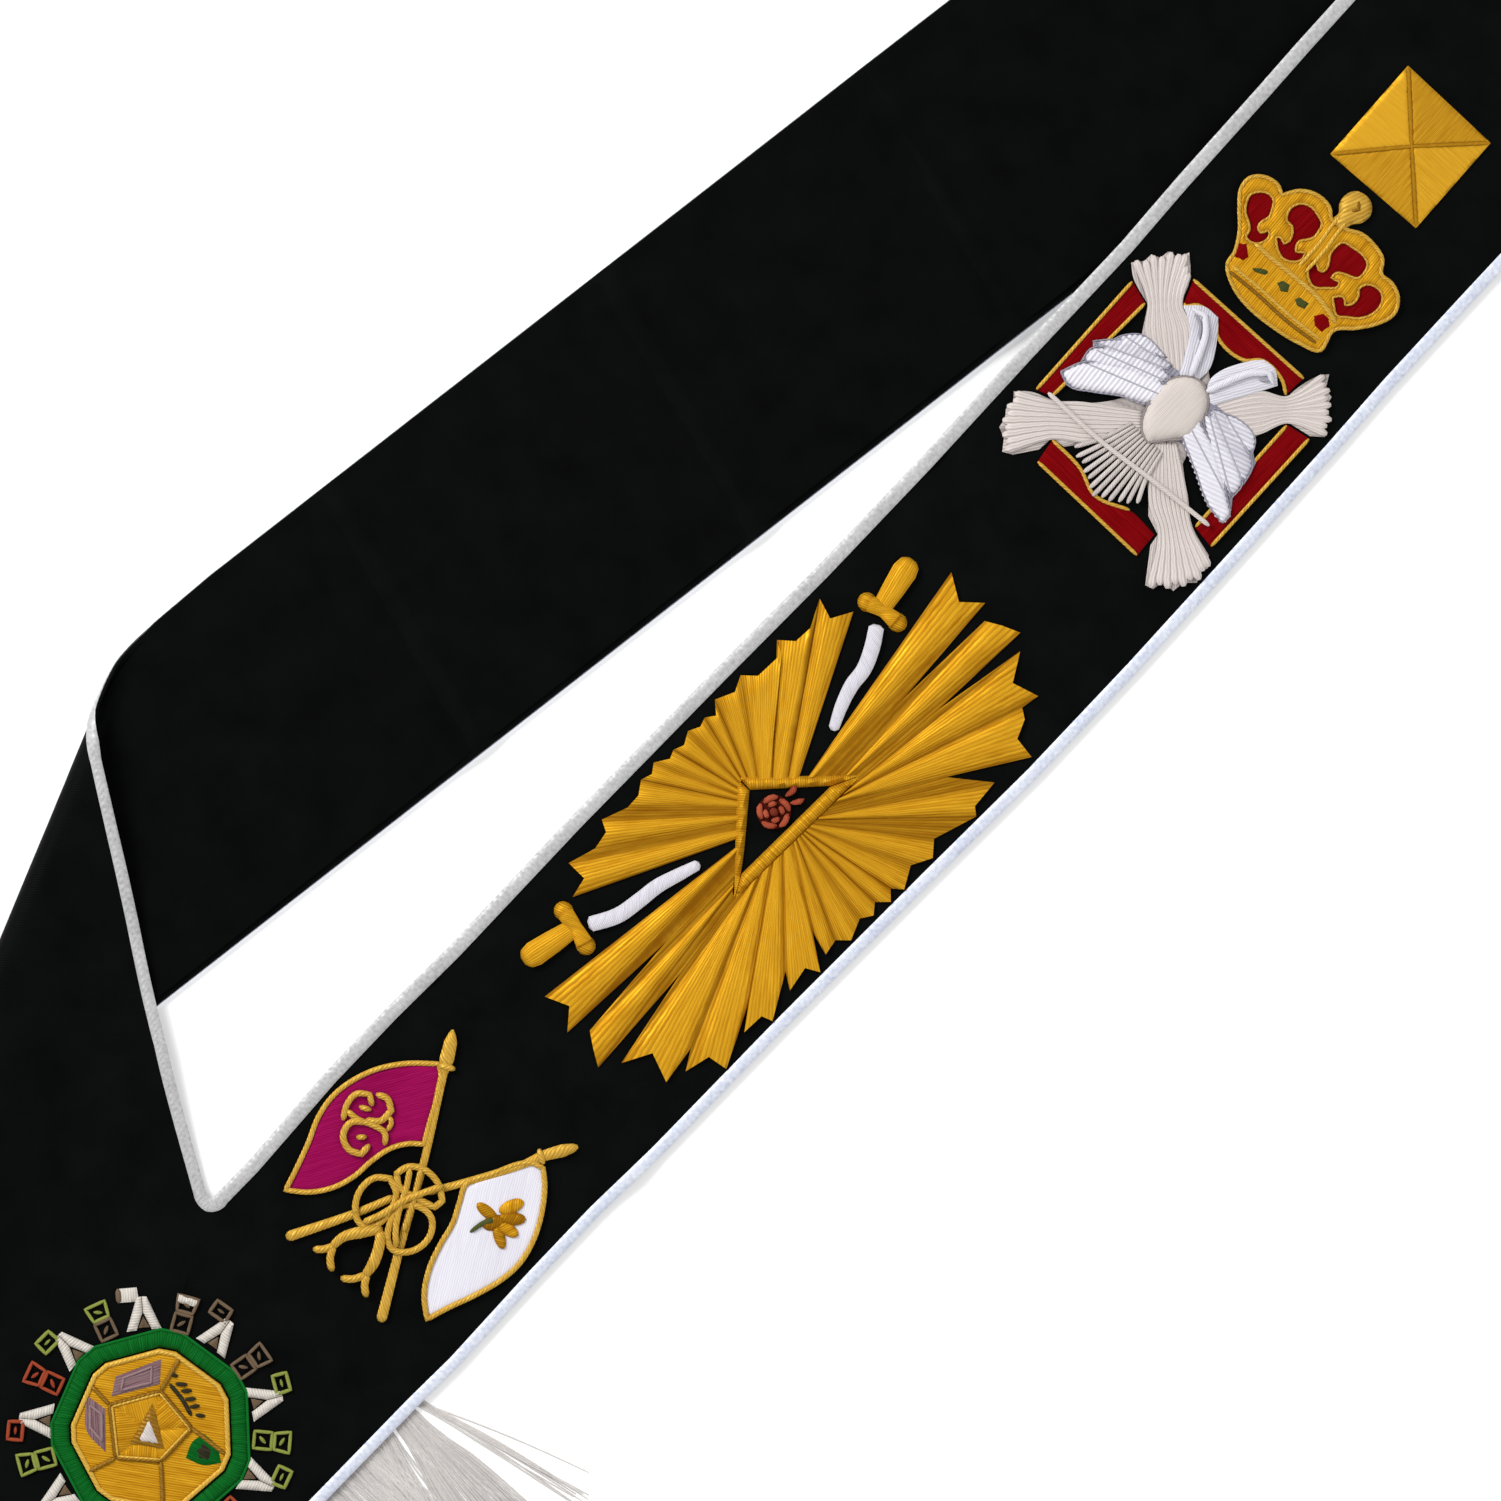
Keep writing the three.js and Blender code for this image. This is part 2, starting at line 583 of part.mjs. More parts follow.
add('crown_frame', seat(slab(crownShape, SIT + 0.9, SIT + 1.9), onFront), 'gold');
add('crown_lining', seat(slab(shapeOf([
  [27, 472], [22, 482], [14, 490], [13, 496], [20, 499.5], [25, 499], [30, 506], [38, 505],
  [50, 506.5], [60, 506.5], [66, 502.3], [73, 500.5], [75.5, 496], [70, 485.5], [65.5, 479],
  [66, 472], [45, 468]]), SIT, SIT + 0.6), onFront), 'crimson');

// square frame: four bars between the arms of the cross
const SQUARE_BARS = {
  top: [[20.9, 458.4], [71.2, 460.7], [70.8, 452.2], [66, 455], [57, 455], [52, 450.5],
    [40.5, 450], [36, 453.6], [28, 453], [25.2, 450], [24.2, 450.2]],
  left: [[6.3, 443.4], [15, 441], [14.4, 396.6], [8.5, 394.2]],
  right: [[77.8, 445.2], [87, 447.2], [88.6, 397.6], [79.8, 398.6]],
  bottom: [[24.6, 385.9], [26.2, 376.8], [72.6, 377.6], [71.8, 387.2], [60, 387.2], [48, 382.5],
    [38, 385.6]],
};
for (const [side, points] of Object.entries(SQUARE_BARS)) {
  add(`square_${side}_bar`, seat(slab(shapeOf(points), SIT, SIT + 0.9), onFront), 'crimson');
}

// cross of rays with scalloped ends
const CROSS = [
  [20, 457.6], [13.6, 463.8], [11.6, 460], [8.2, 459], [7.8, 455.6], [4.8, 454.4], [4.6, 451],
  [1.8, 447.6], [6, 444.4], [15.8, 441.4], [21.5, 432.5], [36, 424], [30, 410], [16, 396.2],
  [8, 392.6], [3.7, 388.6], [6, 386], [6, 382.4], [8, 380], [8.6, 376.5], [12.3, 375],
  [15.2, 371.2], [18.4, 373], [23.6, 380.4], [24, 386.4], [29, 387], [36.4, 396.2], [48.5, 404],
  [59.6, 396.6], [66, 390.2], [72.6, 388], [73.4, 383.6], [81.6, 372.7], [84.4, 373.6], [85, 377.4], [89.8, 378], [90.2, 382.2], [93.6, 385.6],
  [91.4, 388.6], [92.8, 391.6], [90, 395], [79.2, 398.2], [62, 411], [58, 422], [73.2, 434.8],
  [77.2, 446], [86.4, 448], [90.3, 451.4], [87.4, 454], [87, 457.2], [83.4, 458.5],
  [82.4, 462.6], [79, 463.2], [76.4, 467.6], [74.2, 464.6], [72, 457], [71.6, 451.4], [56, 443.5],
  [48.6, 438], [40, 444], [23.6, 449],
];
add('ray_cross', seat(slab(shapeOf(CROSS), SIT, SIT + 0.9), onFront), 'white');

// winged motif on the cross: wings, tail, body with two plumes, and a cord bar
const motifLow = SIT + 1.2;
add('left_wing', seat(slab(shapeOf([
  [39.4, 431], [28, 428.6], [22, 432.6], [16.5, 427.5], [15.5, 423], [11, 419.5], [13.5, 417],
  [13, 411.5], [10.6, 404], [15, 402.4], [20, 406.6], [30, 414], [39.4, 421]]),
motifLow, motifLow + 0.8), onFront), 'white');
add('right_wing', seat(slab(shapeOf([
  [55.4, 431], [62, 431.5], [72.8, 434.4], [77, 430], [79.6, 428.4], [81.6, 421.4], [81, 417],
  [85.4, 409.6], [85.4, 406.6], [79, 408.4], [68, 413.6], [56.4, 421]]),
motifLow, motifLow + 0.8), onFront), 'white');
add('wing_body', seat(slab(shapeOf([
  [48.6, 408], [55, 417], [55, 431.6], [58, 437], [62, 444], [66.6, 452.4], [62, 455.8], [57, 455.4],
  [53.4, 451], [48.6, 439], [46, 440.4], [40.6, 449.6], [36, 454.8], [30, 454.2], [24.6, 449.4],
  [31, 446], [37.6, 436], [40, 431.6], [39.8, 418]]),
motifLow, motifLow + 1.1), onFront), 'white');
add('wing_tail', seat(slab(shapeOf([
  [44, 402], [40, 395.2], [36.4, 395.2], [34.4, 386.4], [38.4, 387.6], [42, 384.2], [45, 384.4], [48.4, 381.2],
  [51.8, 384.6], [55.4, 385.6], [57, 388.6], [60.8, 388.6], [58.6, 396], [54, 397.4], [52, 404], [48.6, 407.6]]),
motifLow, motifLow + 0.5), onFront), 'white');
add('cord_bar', seat(slab(cordShape([[12.4, 396.2], [36, 396.9], [60, 399.8], [83, 402.1]], 2.6),
  motifLow + 0.8, motifLow + 1.6), onFront), 'white');

// glory: pleated rays round a triangle frame, with a rose inside
const RAYS_RIGHT = [
  [31.3, 330, 0], [40.2, 324.5, 1], [46.8, 330.5, 0], [49.6, 288, 0], [51, 326, 0], [56.4, 329, 1],
  [62.4, 331.6, 0], [60.8, 294, 0], [66.8, 327, 0], [72.5, 317.5, 1], [81.8, 320.4, 0],
  [80.6, 313.8, 0], [84, 311.5, 1], [86.8, 305, 1], [94.6, 304, 0], [76.8, 277.5, 0],
  [91.6, 289, 0], [92.4, 278.6, 1], [95.2, 276.4, 0], [90.2, 261, 0], [94.4, 256, 1],
  [90.8, 249, 0], [94.9, 241.6, 1], [91.4, 238.6, 0], [94.6, 235.4, 1], [90.8, 231.6, 0],
  [93.6, 228, 1], [91, 224, 0], [94, 216.6, 1], [90.2, 213, 0], [91.2, 207.2, 1],
  [82.6, 209.6, 0], [94.1, 201.6, 1], [89.4, 199, 1], [91, 190, 1], [85.4, 193.6, 0],
  [94, 178.4, 1], [90.2, 177, 1], [89.8, 169, 1], [84, 177, 0], [94.1, 155.8, 1],
  [87, 154.6, 1], [84.8, 145.6, 0], [80.6, 152.4, 0], [82.6, 138.4, 1], [72.4, 142.2, 1],
  [67.2, 132.4, 0], [60.4, 168, 0], [62.6, 125.8, 0], [57, 129.2, 1], [51.8, 132.8, 0],
  [49.4, 172, 0], [46.8, 127, 0], [41, 134, 1], [32.8, 130.4, 0],
];
const RAYS_LEFT = [
  [16, 161.2, 0], [14.4, 168.6, 1], [7, 168.6, 0], [10, 178.4, 0], [8.8, 185, 1], [4.8, 187, 0],
  [8.2, 196, 0], [8, 201.6, 1], [4.9, 206, 0], [6.2, 210, 1], [3.9, 213.2, 0], [7, 218, 1],
  [5.7, 221, 0], [7.2, 224.6, 1], [4.8, 229, 0], [6.8, 233, 1], [5.7, 236.2, 0], [8, 239.4, 1],
  [3.9, 243, 0], [7, 249.6, 1], [4.4, 255, 0], [8.8, 259, 1], [9.3, 270, 1], [4.9, 272.2, 0],
  [9.8, 276.4, 1], [10.2, 283, 1], [5.5, 292.4, 0], [12.8, 290, 1], [16.8, 297.2, 0],
];
const rayTop = [SIT, SIT + 0.7, SIT + 1.6];
add('glory_right_rays', seat(pleats([[44.6, 248.6], [57.4, 262.4], [59.4, 261.6], [57.4, 195.4],
  [55.4, 195.2], [43.6, 210.4]], RAYS_RIGHT, ...rayTop), onFront), 'gold');
add('glory_left_rays', seat(pleats([[41.8, 212.4], [26.7, 229.3], [42.6, 245.4]], RAYS_LEFT,
  ...rayTop), onFront), 'gold');
const triangle = shapeOf([[57.6, 259.5], [27.6, 229.4], [56.2, 198.5]]);
triangle.holes.push(new THREE.Path([[52.6, 249.5], [51.6, 206.5], [33.8, 229.2]]
  .map(([x, y]) => new THREE.Vector2(x, y))));
add('glory_triangle', seat(slab(triangle, SIT, SIT + 2), onFront), 'gold');
add('rose', seat(new THREE.CylinderGeometry(4.6, 6.9, 1.8, 12).rotateX(Math.PI / 2)
  .translate(44.9, 229.6, SIT + 0.9), onFront), 'rose');

// two wavy swords
add('upper_blade', seat(slab(cordShape([[25.6, 299.6], [30, 292.6], [33, 285.5], [33.8, 279],
  [36.2, 271.5], [40, 263.4]], [4.6, 5.6, 5.4, 5, 4.6, 3.4]), SIT, SIT + 0.9), onFront), 'white');
add('lower_blade', seat(slab(cordShape([[26.4, 158.2], [31.4, 167.6], [33, 176], [34.1, 184],
  [36.6, 192], [39.1, 199.4]], [5, 5.4, 5.2, 4.8, 4.4, 3.4]), SIT, SIT + 0.9), onFront), 'white');
function hilt(pommel, grip, guard, r) {
  const disc = ([x, y], size) => slab(ringless(x, y, size), SIT, SIT + 1.3);
  return fused([disc(pommel, 4.3), slab(cordShape(grip, 5.6), SIT, SIT + 1.3),
    slab(cordShape(guard, 6), SIT, SIT + 1.3), disc(guard[0], r), disc(guard[1], r)]);
}
function ringless(x, y, r) {
  return shapeOf(Array.from({ length: 12 }, (_, i) => {
    const t = (i / 12) * Math.PI * 2 + 0.05;
    return [x + r * Math.cos(t), y + r * Math.sin(t)];
  }));
}
add('upper_hilt', seat(hilt([19.6, 319.6], [[20, 319], [23, 303.4]], [[18, 302.8], [30, 305]], 3.5),
  onFront), 'gold');
add('lower_hilt', seat(hilt([20.1, 138.2], [[20.6, 139], [23.6, 154.4]], [[17.2, 155.7], [30.6, 152.6]], 3.2),
  onFront), 'gold');

// crossed flags on poles with a knotted cord
add('left_flag', seat(slab(shapeOf([
  [22.8, 88.9], [14.8, 81.3], [8.8, 72.5], [5.4, 62.5], [4.8, 55], [6.2, 47.5], [9.8, 39],
  [13, 30], [15.5, 22], [22, 27.4], [26.5, 34], [28.9, 41.5], [29.6, 50], [31.2, 57], [34.4, 63],
  [35.8, 65.4], [33, 70.4], [23.6, 86.4]]), SIT, SIT + 0.9), onFront), 'magenta');
add('right_flag', seat(slab(shapeOf([
  [73, 88.3], [77.5, 84.5], [83, 77.5], [87.5, 69], [89.8, 60], [89.4, 52], [86.4, 41], [83, 32],
  [80.5, 24], [74, 29.3], [69, 37], [66, 45.5], [64, 53.5], [61, 60.8], [59.8, 65.8],
  [63.7, 73.4], [70.4, 85.6]]), SIT, SIT + 0.9), onFront), 'white');
const poleHigh = [SIT, SIT + 1.1];
add('left_pole', seat(slab(cordShape([[18.2, 100.6], [20.6, 97.2], [23.8, 92], [26.4, 87.6], [42.5, 61.6],
  [56, 36.8], [69.9, 12.4]], [1, 4.6, 4.6, 3, 2.7, 3, 4]), ...poleHigh), onFront), 'gold');
add('right_pole_head', seat(slab(cordShape([[76.4, 101.8], [73.6, 97.2], [70, 91], [67.6, 85.2], [57.4, 66.4],
  [50.2, 54.6]], [1, 4.6, 4.6, 2.8, 2.7, 2.7]), ...poleHigh), onFront), 'gold');
add('right_pole_foot', seat(slab(cordShape([[43.6, 46], [37.6, 32], [26.8, 10.6]], [2.7, 3, 4]),
  ...poleHigh), onFront), 'gold');
const knotHigh = [SIT + 1.4, SIT + 2.2];
const knot = [
  slab(ringShape(40.6, 40.6, 7.2, 9.6, 3.2, 16), ...knotHigh),
  slab(ringShape(54.4, 42.4, 7.2, 9.6, 3.2, 16), ...knotHigh),
  slab(ringShape(47.3, 54.4, 9.6, 5.6, 3.2, 16), ...knotHigh),
  slab(cordShape([[48, 46], [47.4, 34], [42.6, 26], [41.6, 20]], [7, 5, 4, 4]), ...knotHigh),
  slab(cordShape([[47.6, 36], [54, 26], [54.6, 20]], [4, 4, 4]), ...knotHigh),
  slab(cordShape([[41.8, 21.6], [36.8, 15.2]], 3.6), ...knotHigh),
  slab(cordShape([[41.2, 21.8], [44.4, 13.2]], 3.6), ...knotHigh),
  slab(cordShape([[54.4, 21.8], [50.6, 13.6]], 3.6), ...knotHigh),
  slab(cordShape([[54.2, 21.6], [59.8, 14.6]], 3.6), ...knotHigh),
];
add('cord_knot', seat(fused(knot), onFront), 'gold');
const badgeHigh = [SIT + 1.2, SIT + 2];
add('left_flag_scroll', seat(slab(shapeOf([
  [17, 69.6], [12.5, 65.5], [8.4, 63], [9.6, 56.5], [13, 53.4], [13.6, 50.2], [18.6, 49.4],
  [20, 45.6], [25.6, 45], [26.6, 51], [29, 55.4], [29.2, 59.6], [23.6, 61.6], [25.4, 65],
  [20.4, 66.4]]), ...badgeHigh), onFront), 'gold');
add('right_flag_sprig', seat(slab(shapeOf([
  [72.4, 74.4], [76, 72.8], [79, 72.4], [79.4, 67.6], [82, 63.6], [81.4, 58.4], [77.4, 60.6],
  [73.4, 62.4], [71.4, 55.8], [69.8, 56.2], [70.6, 62.2], [65.4, 62.6], [65.2, 65.8], [70.4, 66.6],
  [72.2, 67.8]]), ...badgeHigh), onFront), 'gold');

// camp emblem on the point: ring, faceted plate, centre triangle, tents and banners
const CAMP = { x: 40, y: -68, ring: 33.8, inner: 28.4, count: 9, first: 99 };
const polar = (r, deg) => [CAMP.x + r * Math.cos(rad(deg)), CAMP.y + r * Math.sin(rad(deg))];
add('camp_ring', seat(slab(ringShape(CAMP.x, CAMP.y, CAMP.ring, CAMP.ring, CAMP.ring - CAMP.inner, 28),
  SIT, SIT + 1.1), onPoint), 'green');
const plate = new THREE.CylinderGeometry(13, CAMP.inner - 1, 1.2, 7).rotateX(Math.PI / 2);
add('camp_plate', seat(plate.rotateZ(rad(72.2 - 90)).translate(CAMP.x, CAMP.y, SIT + 0.6),
  onPoint), 'gold');
add('camp_triangle', seat(slab(shapeOf([[36.4, -62.4], [37.8, -73.4], [45, -68.8]]), SIT + 1.5, SIT + 2.2),
  onPoint), 'white');
const turned = (points, deg) => points.map(([r, t]) => {
  const [x, y] = polar(r, deg);
  return [x - Math.sin(rad(deg)) * t, y + Math.cos(rad(deg)) * t];
});
const bannerColours = ['brown', 'brown', 'olive', 'red', 'olive', 'brown', 'olive', 'red', 'olive'];
for (let k = 0; k < CAMP.count; k++) {
  const deg = CAMP.first + (k * 360) / CAMP.count;
  add(`camp_tent_${k + 1}`, seat(slab(shapeOf(turned([
    [34.2, -4.8], [34.2, -1.6], [37, 0], [34.2, 1.6], [34.2, 4.8], [42, 1.4], [43.4, 4.4],
    [47.4, 4], [47.4, -3.4], [42, -3]], deg)), SIT, SIT + 0.8), onPoint), 'white');
  add(`camp_banner_${k + 1}`, seat(slab(shapeOf(turned([
    [34.3, -4], [34.3, 4], [46.4, 4.2], [46.4, -4.2]], deg - 180 / CAMP.count)),
  SIT, SIT + 0.6), onPoint), bannerColours[k]);
}

// stand the object on its own middle, on the table
const box = new THREE.Box3().setFromObject(sash);
const middle = box.getCenter(new THREE.Vector3());
sash.children.forEach((mesh) => mesh.geometry.translate(-middle.x, -middle.y, -box.min.z));

export default sash;
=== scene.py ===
# %% [markdown]
# # A ceremonial sash
# The real object is a loop of black ribbon that is worn over one shoulder. Its two
# halves meet in a mitred point at the hip. Silver braid runs along every edge, a
# fringe hangs from the point, and padded emblems in gold and silver thread cover
# the front. Here it lies flat with its back half folded under.
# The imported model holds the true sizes. Each step below takes one plain solid and
# puts a finely made piece of cloth, braid or embroidery in its place.

import math
import random

import bpy
import numpy as np
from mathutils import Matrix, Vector
from mathutils.geometry import delaunay_2d_cdt


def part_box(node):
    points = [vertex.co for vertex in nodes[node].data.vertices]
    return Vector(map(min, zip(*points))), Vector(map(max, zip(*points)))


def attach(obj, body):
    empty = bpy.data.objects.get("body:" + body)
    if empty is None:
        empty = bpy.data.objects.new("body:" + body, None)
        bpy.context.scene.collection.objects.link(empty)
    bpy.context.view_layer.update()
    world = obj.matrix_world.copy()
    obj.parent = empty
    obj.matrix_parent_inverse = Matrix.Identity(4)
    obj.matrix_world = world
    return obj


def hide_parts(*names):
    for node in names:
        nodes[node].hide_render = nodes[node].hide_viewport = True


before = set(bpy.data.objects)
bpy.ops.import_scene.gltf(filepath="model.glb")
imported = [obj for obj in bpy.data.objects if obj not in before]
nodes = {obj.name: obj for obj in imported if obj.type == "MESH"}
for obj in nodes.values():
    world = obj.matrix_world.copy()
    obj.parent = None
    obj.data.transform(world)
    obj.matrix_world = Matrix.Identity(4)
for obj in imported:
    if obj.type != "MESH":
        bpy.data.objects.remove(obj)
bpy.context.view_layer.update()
MM = 0.001
print("solids in the frame:", len(nodes))

# %% [markdown]
# ## Where things are
# Every place on the sash is easiest to name along its front band: x runs across it
# from the inner edge, and y runs along it from the inner corner of the mitre.
# The camp ring's solid tells where that corner is, so nothing has to be fitted.
# CORNER_IN_PHOTO is the same corner, measured from the photograph's centre.

# %% The front band's own axes
FRONT_TURN = 44.2
FRONT_HEADING = math.radians(FRONT_TURN)
CORNER_IN_PHOTO = np.array([-184.3, -154.2])
ALONG = np.array([math.sin(FRONT_HEADING), math.cos(FRONT_HEADING)])
ACROSS = np.array([math.cos(FRONT_HEADING), -math.sin(FRONT_HEADING)])
CAMP = (40.0, -68.0)
ring_low, ring_high = (np.array(corner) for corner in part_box("camp_ring"))
ring_middle = (ring_low + ring_high)[:2] / 2 / MM
CORNER = ring_middle - CAMP[0] * ACROSS - CAMP[1] * ALONG
print("inner corner of the mitre, mm:", CORNER.round(1))

# %% [markdown]
# ## Camera, table and light
# The photograph looks straight down from far away, so the camera gets a long lens.
# A studio table is plain and pale. One broad soft light from the upper left shows
# the relief of the threads, and a weaker one opposite keeps the shadows open.

# %% The camera, straight above the photograph's centre
PHOTO_PIXELS = 1501
PIXEL = 0.34 * MM
CAMERA_HEIGHT = 2.2
SENSOR = 36.0
CENTRE = (CORNER - CORNER_IN_PHOTO) * MM
camera_data = bpy.data.cameras.new("camera")
camera_data.sensor_width = SENSOR
camera_data.lens = SENSOR * CAMERA_HEIGHT / (PHOTO_PIXELS * PIXEL)
camera = bpy.data.objects.new("camera", camera_data)
camera.location = (CENTRE[0], CENTRE[1], CAMERA_HEIGHT)
scene = bpy.context.scene
scene.collection.objects.link(camera)
scene.camera = camera
print("lens, mm:", round(camera_data.lens, 1))

# %% Helpers for picking and finishing pieces


def only(piece):
    """Selects this piece alone and makes it active."""
    bpy.ops.object.select_all(action="DESELECT")
    piece.select_set(True)
    bpy.context.view_layer.objects.active = piece


def settle(piece, name, *replaced):
    """Names a finished piece, puts its place in its mesh and joins it to the frame."""
    only(piece)
    bpy.ops.object.transform_apply(location=True, rotation=True, scale=True)
    piece.name = name
    piece.data.name = name
    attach(piece, "root")
    if replaced:
        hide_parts(*replaced)
    return piece


def mesh_piece(name, points, faces):
    """A new object from points in millimetres."""
    mesh = bpy.data.meshes.new(name)
    mesh.from_pydata((np.asarray(points, float) * MM).tolist(), [], faces)
    mesh.update()
    piece = bpy.data.objects.new(name, mesh)
    scene.collection.objects.link(piece)
    return piece


def smooth_faces(piece, degrees=50):
    """Rounds the shading, but keeps edges that are sharper than the angle."""
    only(piece)
    bpy.ops.object.shade_smooth_by_angle(angle=math.radians(degrees))


def triangles(piece):
    piece.data.calc_loop_triangles()
    return len(piece.data.loop_triangles)


# %% The table
TABLE_SIZE = 6.0
TABLE_GLOW = 0.3
bpy.ops.object.select_all(action="DESELECT")
bpy.ops.mesh.primitive_plane_add(size=TABLE_SIZE, location=(0, 0, -0.0003))
table = bpy.context.object
table.name = "table"
table_paint = bpy.data.materials.new("table_paint")
table_paint.use_nodes = True
table_shader = table_paint.node_tree.nodes["Principled BSDF"]
table_shader.inputs["Base Color"].default_value = (0.93, 0.93, 0.93, 1)
table_shader.inputs["Roughness"].default_value = 0.9
table_shader.inputs["Specular IOR Level"].default_value = 0.1
table_shader.inputs["Emission Color"].default_value = (1, 1, 1, 1)
table_shader.inputs["Emission Strength"].default_value = TABLE_GLOW
table.data.materials.append(table_paint)

# %% The lights
WORLD_LIGHT = 0.50
world = bpy.data.worlds.new("studio")
world.use_nodes = True
world.node_tree.nodes["Background"].inputs["Color"].default_value = (1, 1, 1, 1)
world.node_tree.nodes["Background"].inputs["Strength"].default_value = WORLD_LIGHT
scene.world = world
scene.view_settings.view_transform = "Standard"


def softbox(name, place, size, watts):
    """A square area light that faces the middle of the photograph."""
    data = bpy.data.lights.new(name, "AREA")
    data.size = size
    data.energy = watts
    lamp = bpy.data.objects.new(name, data)
    lamp.location = place
    aim = Vector((CENTRE[0], CENTRE[1], 0)) - Vector(place)
    lamp.rotation_euler = aim.to_track_quat("-Z", "Y").to_euler()
    scene.collection.objects.link(lamp)


softbox("key", (CENTRE[0] - 1.3, CENTRE[1] + 1.1, 1.5), size=1.0, watts=40)
softbox("fill", (CENTRE[0] + 1.5, CENTRE[1] - 0.6, 1.7), size=1.6, watts=10)

# %% [markdown]
# ## The straps as a map
# Both straps are ribbons that go flat, then roll over a fold and run on beneath.
# A small map turns a place on the ribbon into a place in space: the share f across
# the width, the station s along the length, and the height h above the middle of
# the ribbon's two plies. The tables below are the ribbon's own measurements.

# %% Sizes of the two straps, in millimetres
TIP_ACROSS = 98.5
TIP_DOWN = 177.7
BACK_WIDTH = 104.0
PLY = 0.8
HALF_STACK = 0.95
LOW_MIDDLE = 2.15
REST_LIFT = 3.4
SHOULDER_AT = 850.0
SHOULDER_TURN = 51.2
SHOULDER_LAP = 30.0
FRONT_EDGES = np.array([
    (-200, 0, 98.5), (0, 0, 98.5), (20, 0, 99), (60, -2.3, 97.8), (90, -2.6, 97.5),
    (120, -2, 98.5), (180, -3, 98.5), (250, -2.8, 99.5), (300, -2.3, 100.5),
    (350, -2.8, 99.8), (400, -4.2, 98.2), (450, -5, 96.3), (480, -6.8, 94.8),
    (520, -8.4, 93.8), (540, -9.4, 93.4), (850, -20.2, 82.6), (900, -22, 80.8),
])
FRONT_RISE = np.array([
    (-300, 0, 0), (332, 0, 0), (366, 3.5, 0), (568, 5.3, 0), (640, 5.6, 1.2),
    (700, 5.2, 3.2), (760, 4.2, 3.9), (900, 3.8, 3.8),
])
CREASE = np.array([(96, 0), (103, 0.7), (108, 1.3), (113, 0.7), (120, 0)])
BACK_PULL = np.array([
    (60, 0), (72, 0.7), (107, 3.4), (142, 6.5), (163, 8.5), (180, 8.5), (196, 4),
    (215, 1), (240, 0),
])


def column(table_rows, key, place):
    """Reads one column of a table at a key, with straight lines between rows."""
    return np.interp(key, table_rows[:, 0], table_rows[:, place])


def smooth(t):
    t = np.clip(t, 0, 1)
    return t * t * (3 - 2 * t)


def heading(degrees):
    """A direction in plan, in degrees clockwise from +Y."""
    return np.array([math.sin(math.radians(degrees)), math.cos(math.radians(degrees))])


def right_of(direction):
    return np.array([direction[1], -direction[0]])


# %% The front strap


def front_plan(x, y):
    x, y = np.asarray(x, float)[..., None], np.asarray(y, float)[..., None]
    return CORNER + x * ACROSS + y * ALONG


def front_flat(f, s):
    inner, outer = column(FRONT_EDGES, s, 1), column(FRONT_EDGES, s, 2)
    return front_plan(inner + (outer - inner) * f, s)


def front_rise(f, s):
    inner, outer = column(FRONT_RISE, s, 1), column(FRONT_RISE, s, 2)
    crease = np.where((s > 96) & (s < 120), column(CREASE, s, 1), 0)
    return inner + (outer - inner) * f + crease


FRONT = {
    "flat": front_flat,
    "rise": front_rise,
    "seam": lambda f: -f * TIP_DOWN,
    "at": front_flat(0.5, SHOULDER_AT),
    "away": heading(SHOULDER_TURN),
    "axis": heading(SHOULDER_TURN - 90),
    "r": 4.0,
    "ease": 60.0,
}


def fold_point(strap, plan, h, lift):
    """Rolls a flat place of the ribbon under its fold and lifts it by h."""
    start = plan - strap["at"]
    w, p = start @ strap["away"], start @ strap["axis"]
    r = strap["r"]
    u = w - (math.pi / 2 - 1) * r
    half = math.pi * r / 2
    above = u <= -half
    under = u >= half
    flat_top = HALF_STACK + lift
    near = 1 - smooth((-w - r) / strap["ease"])
    turn = np.clip(u / r + math.pi / 2, 0, math.pi)
    q = np.where(under, r + (u - half), r - r * np.sin(turn))
    nq = np.where(under, 0, np.sin(turn))
    nz = np.where(above, 1, np.where(under, -1, np.cos(turn)))
    z_roll = LOW_MIDDLE + r + r * np.cos(turn)
    z_top = flat_top + (LOW_MIDDLE + 2 * r - flat_top) * near
    z = np.where(above, z_top, np.where(under, LOW_MIDDLE, z_roll))
    rolled = (strap["at"] + p[..., None] * strap["axis"]
              + (nq * h - q)[..., None] * strap["away"])
    place = np.where(above[..., None], plan, rolled)
    return np.concatenate([place, (z + nz * h)[..., None]], axis=-1)


def on_strap(strap, f, s, h):
    """The place in millimetres of share f, station s and height h on a strap."""
    f, s, h = np.broadcast_arrays(np.asarray(f, float), np.asarray(s, float), h)
    return fold_point(strap, strap["flat"](f, s), h, strap["rise"](f, s))


# %% The back strap's centre line
mitre_long = math.hypot(TIP_ACROSS, TIP_DOWN)
mitre_heading = FRONT_TURN - math.degrees(math.atan2(TIP_ACROSS, TIP_DOWN))
back_heading = mitre_heading - math.degrees(math.asin(BACK_WIDTH / mitre_long))
BACK_DOWN = math.sqrt(mitre_long**2 - BACK_WIDTH**2)
BACK_ALONG = heading(back_heading)
BACK_ACROSS = -right_of(BACK_ALONG)
SHIFT = CORNER - CORNER_IN_PHOTO
LOWER_FROM = np.array([-91.97, 64.77]) + SHIFT
LOWER_ALONG = heading(52.1)
LOWER_STRAIGHT = 224.0
SIDE_AXIS = heading(22.5)
SIDE_AWAY = -right_of(SIDE_AXIS)
SIDE_FOLD = {
    "seam": lambda f: -f * BACK_DOWN,
    "at": np.array([-220.2, 16.2]) + SHIFT,
    "away": SIDE_AWAY,
    "axis": SIDE_AXIS,
    "r": 5.0,
    "ease": 46.0,
}


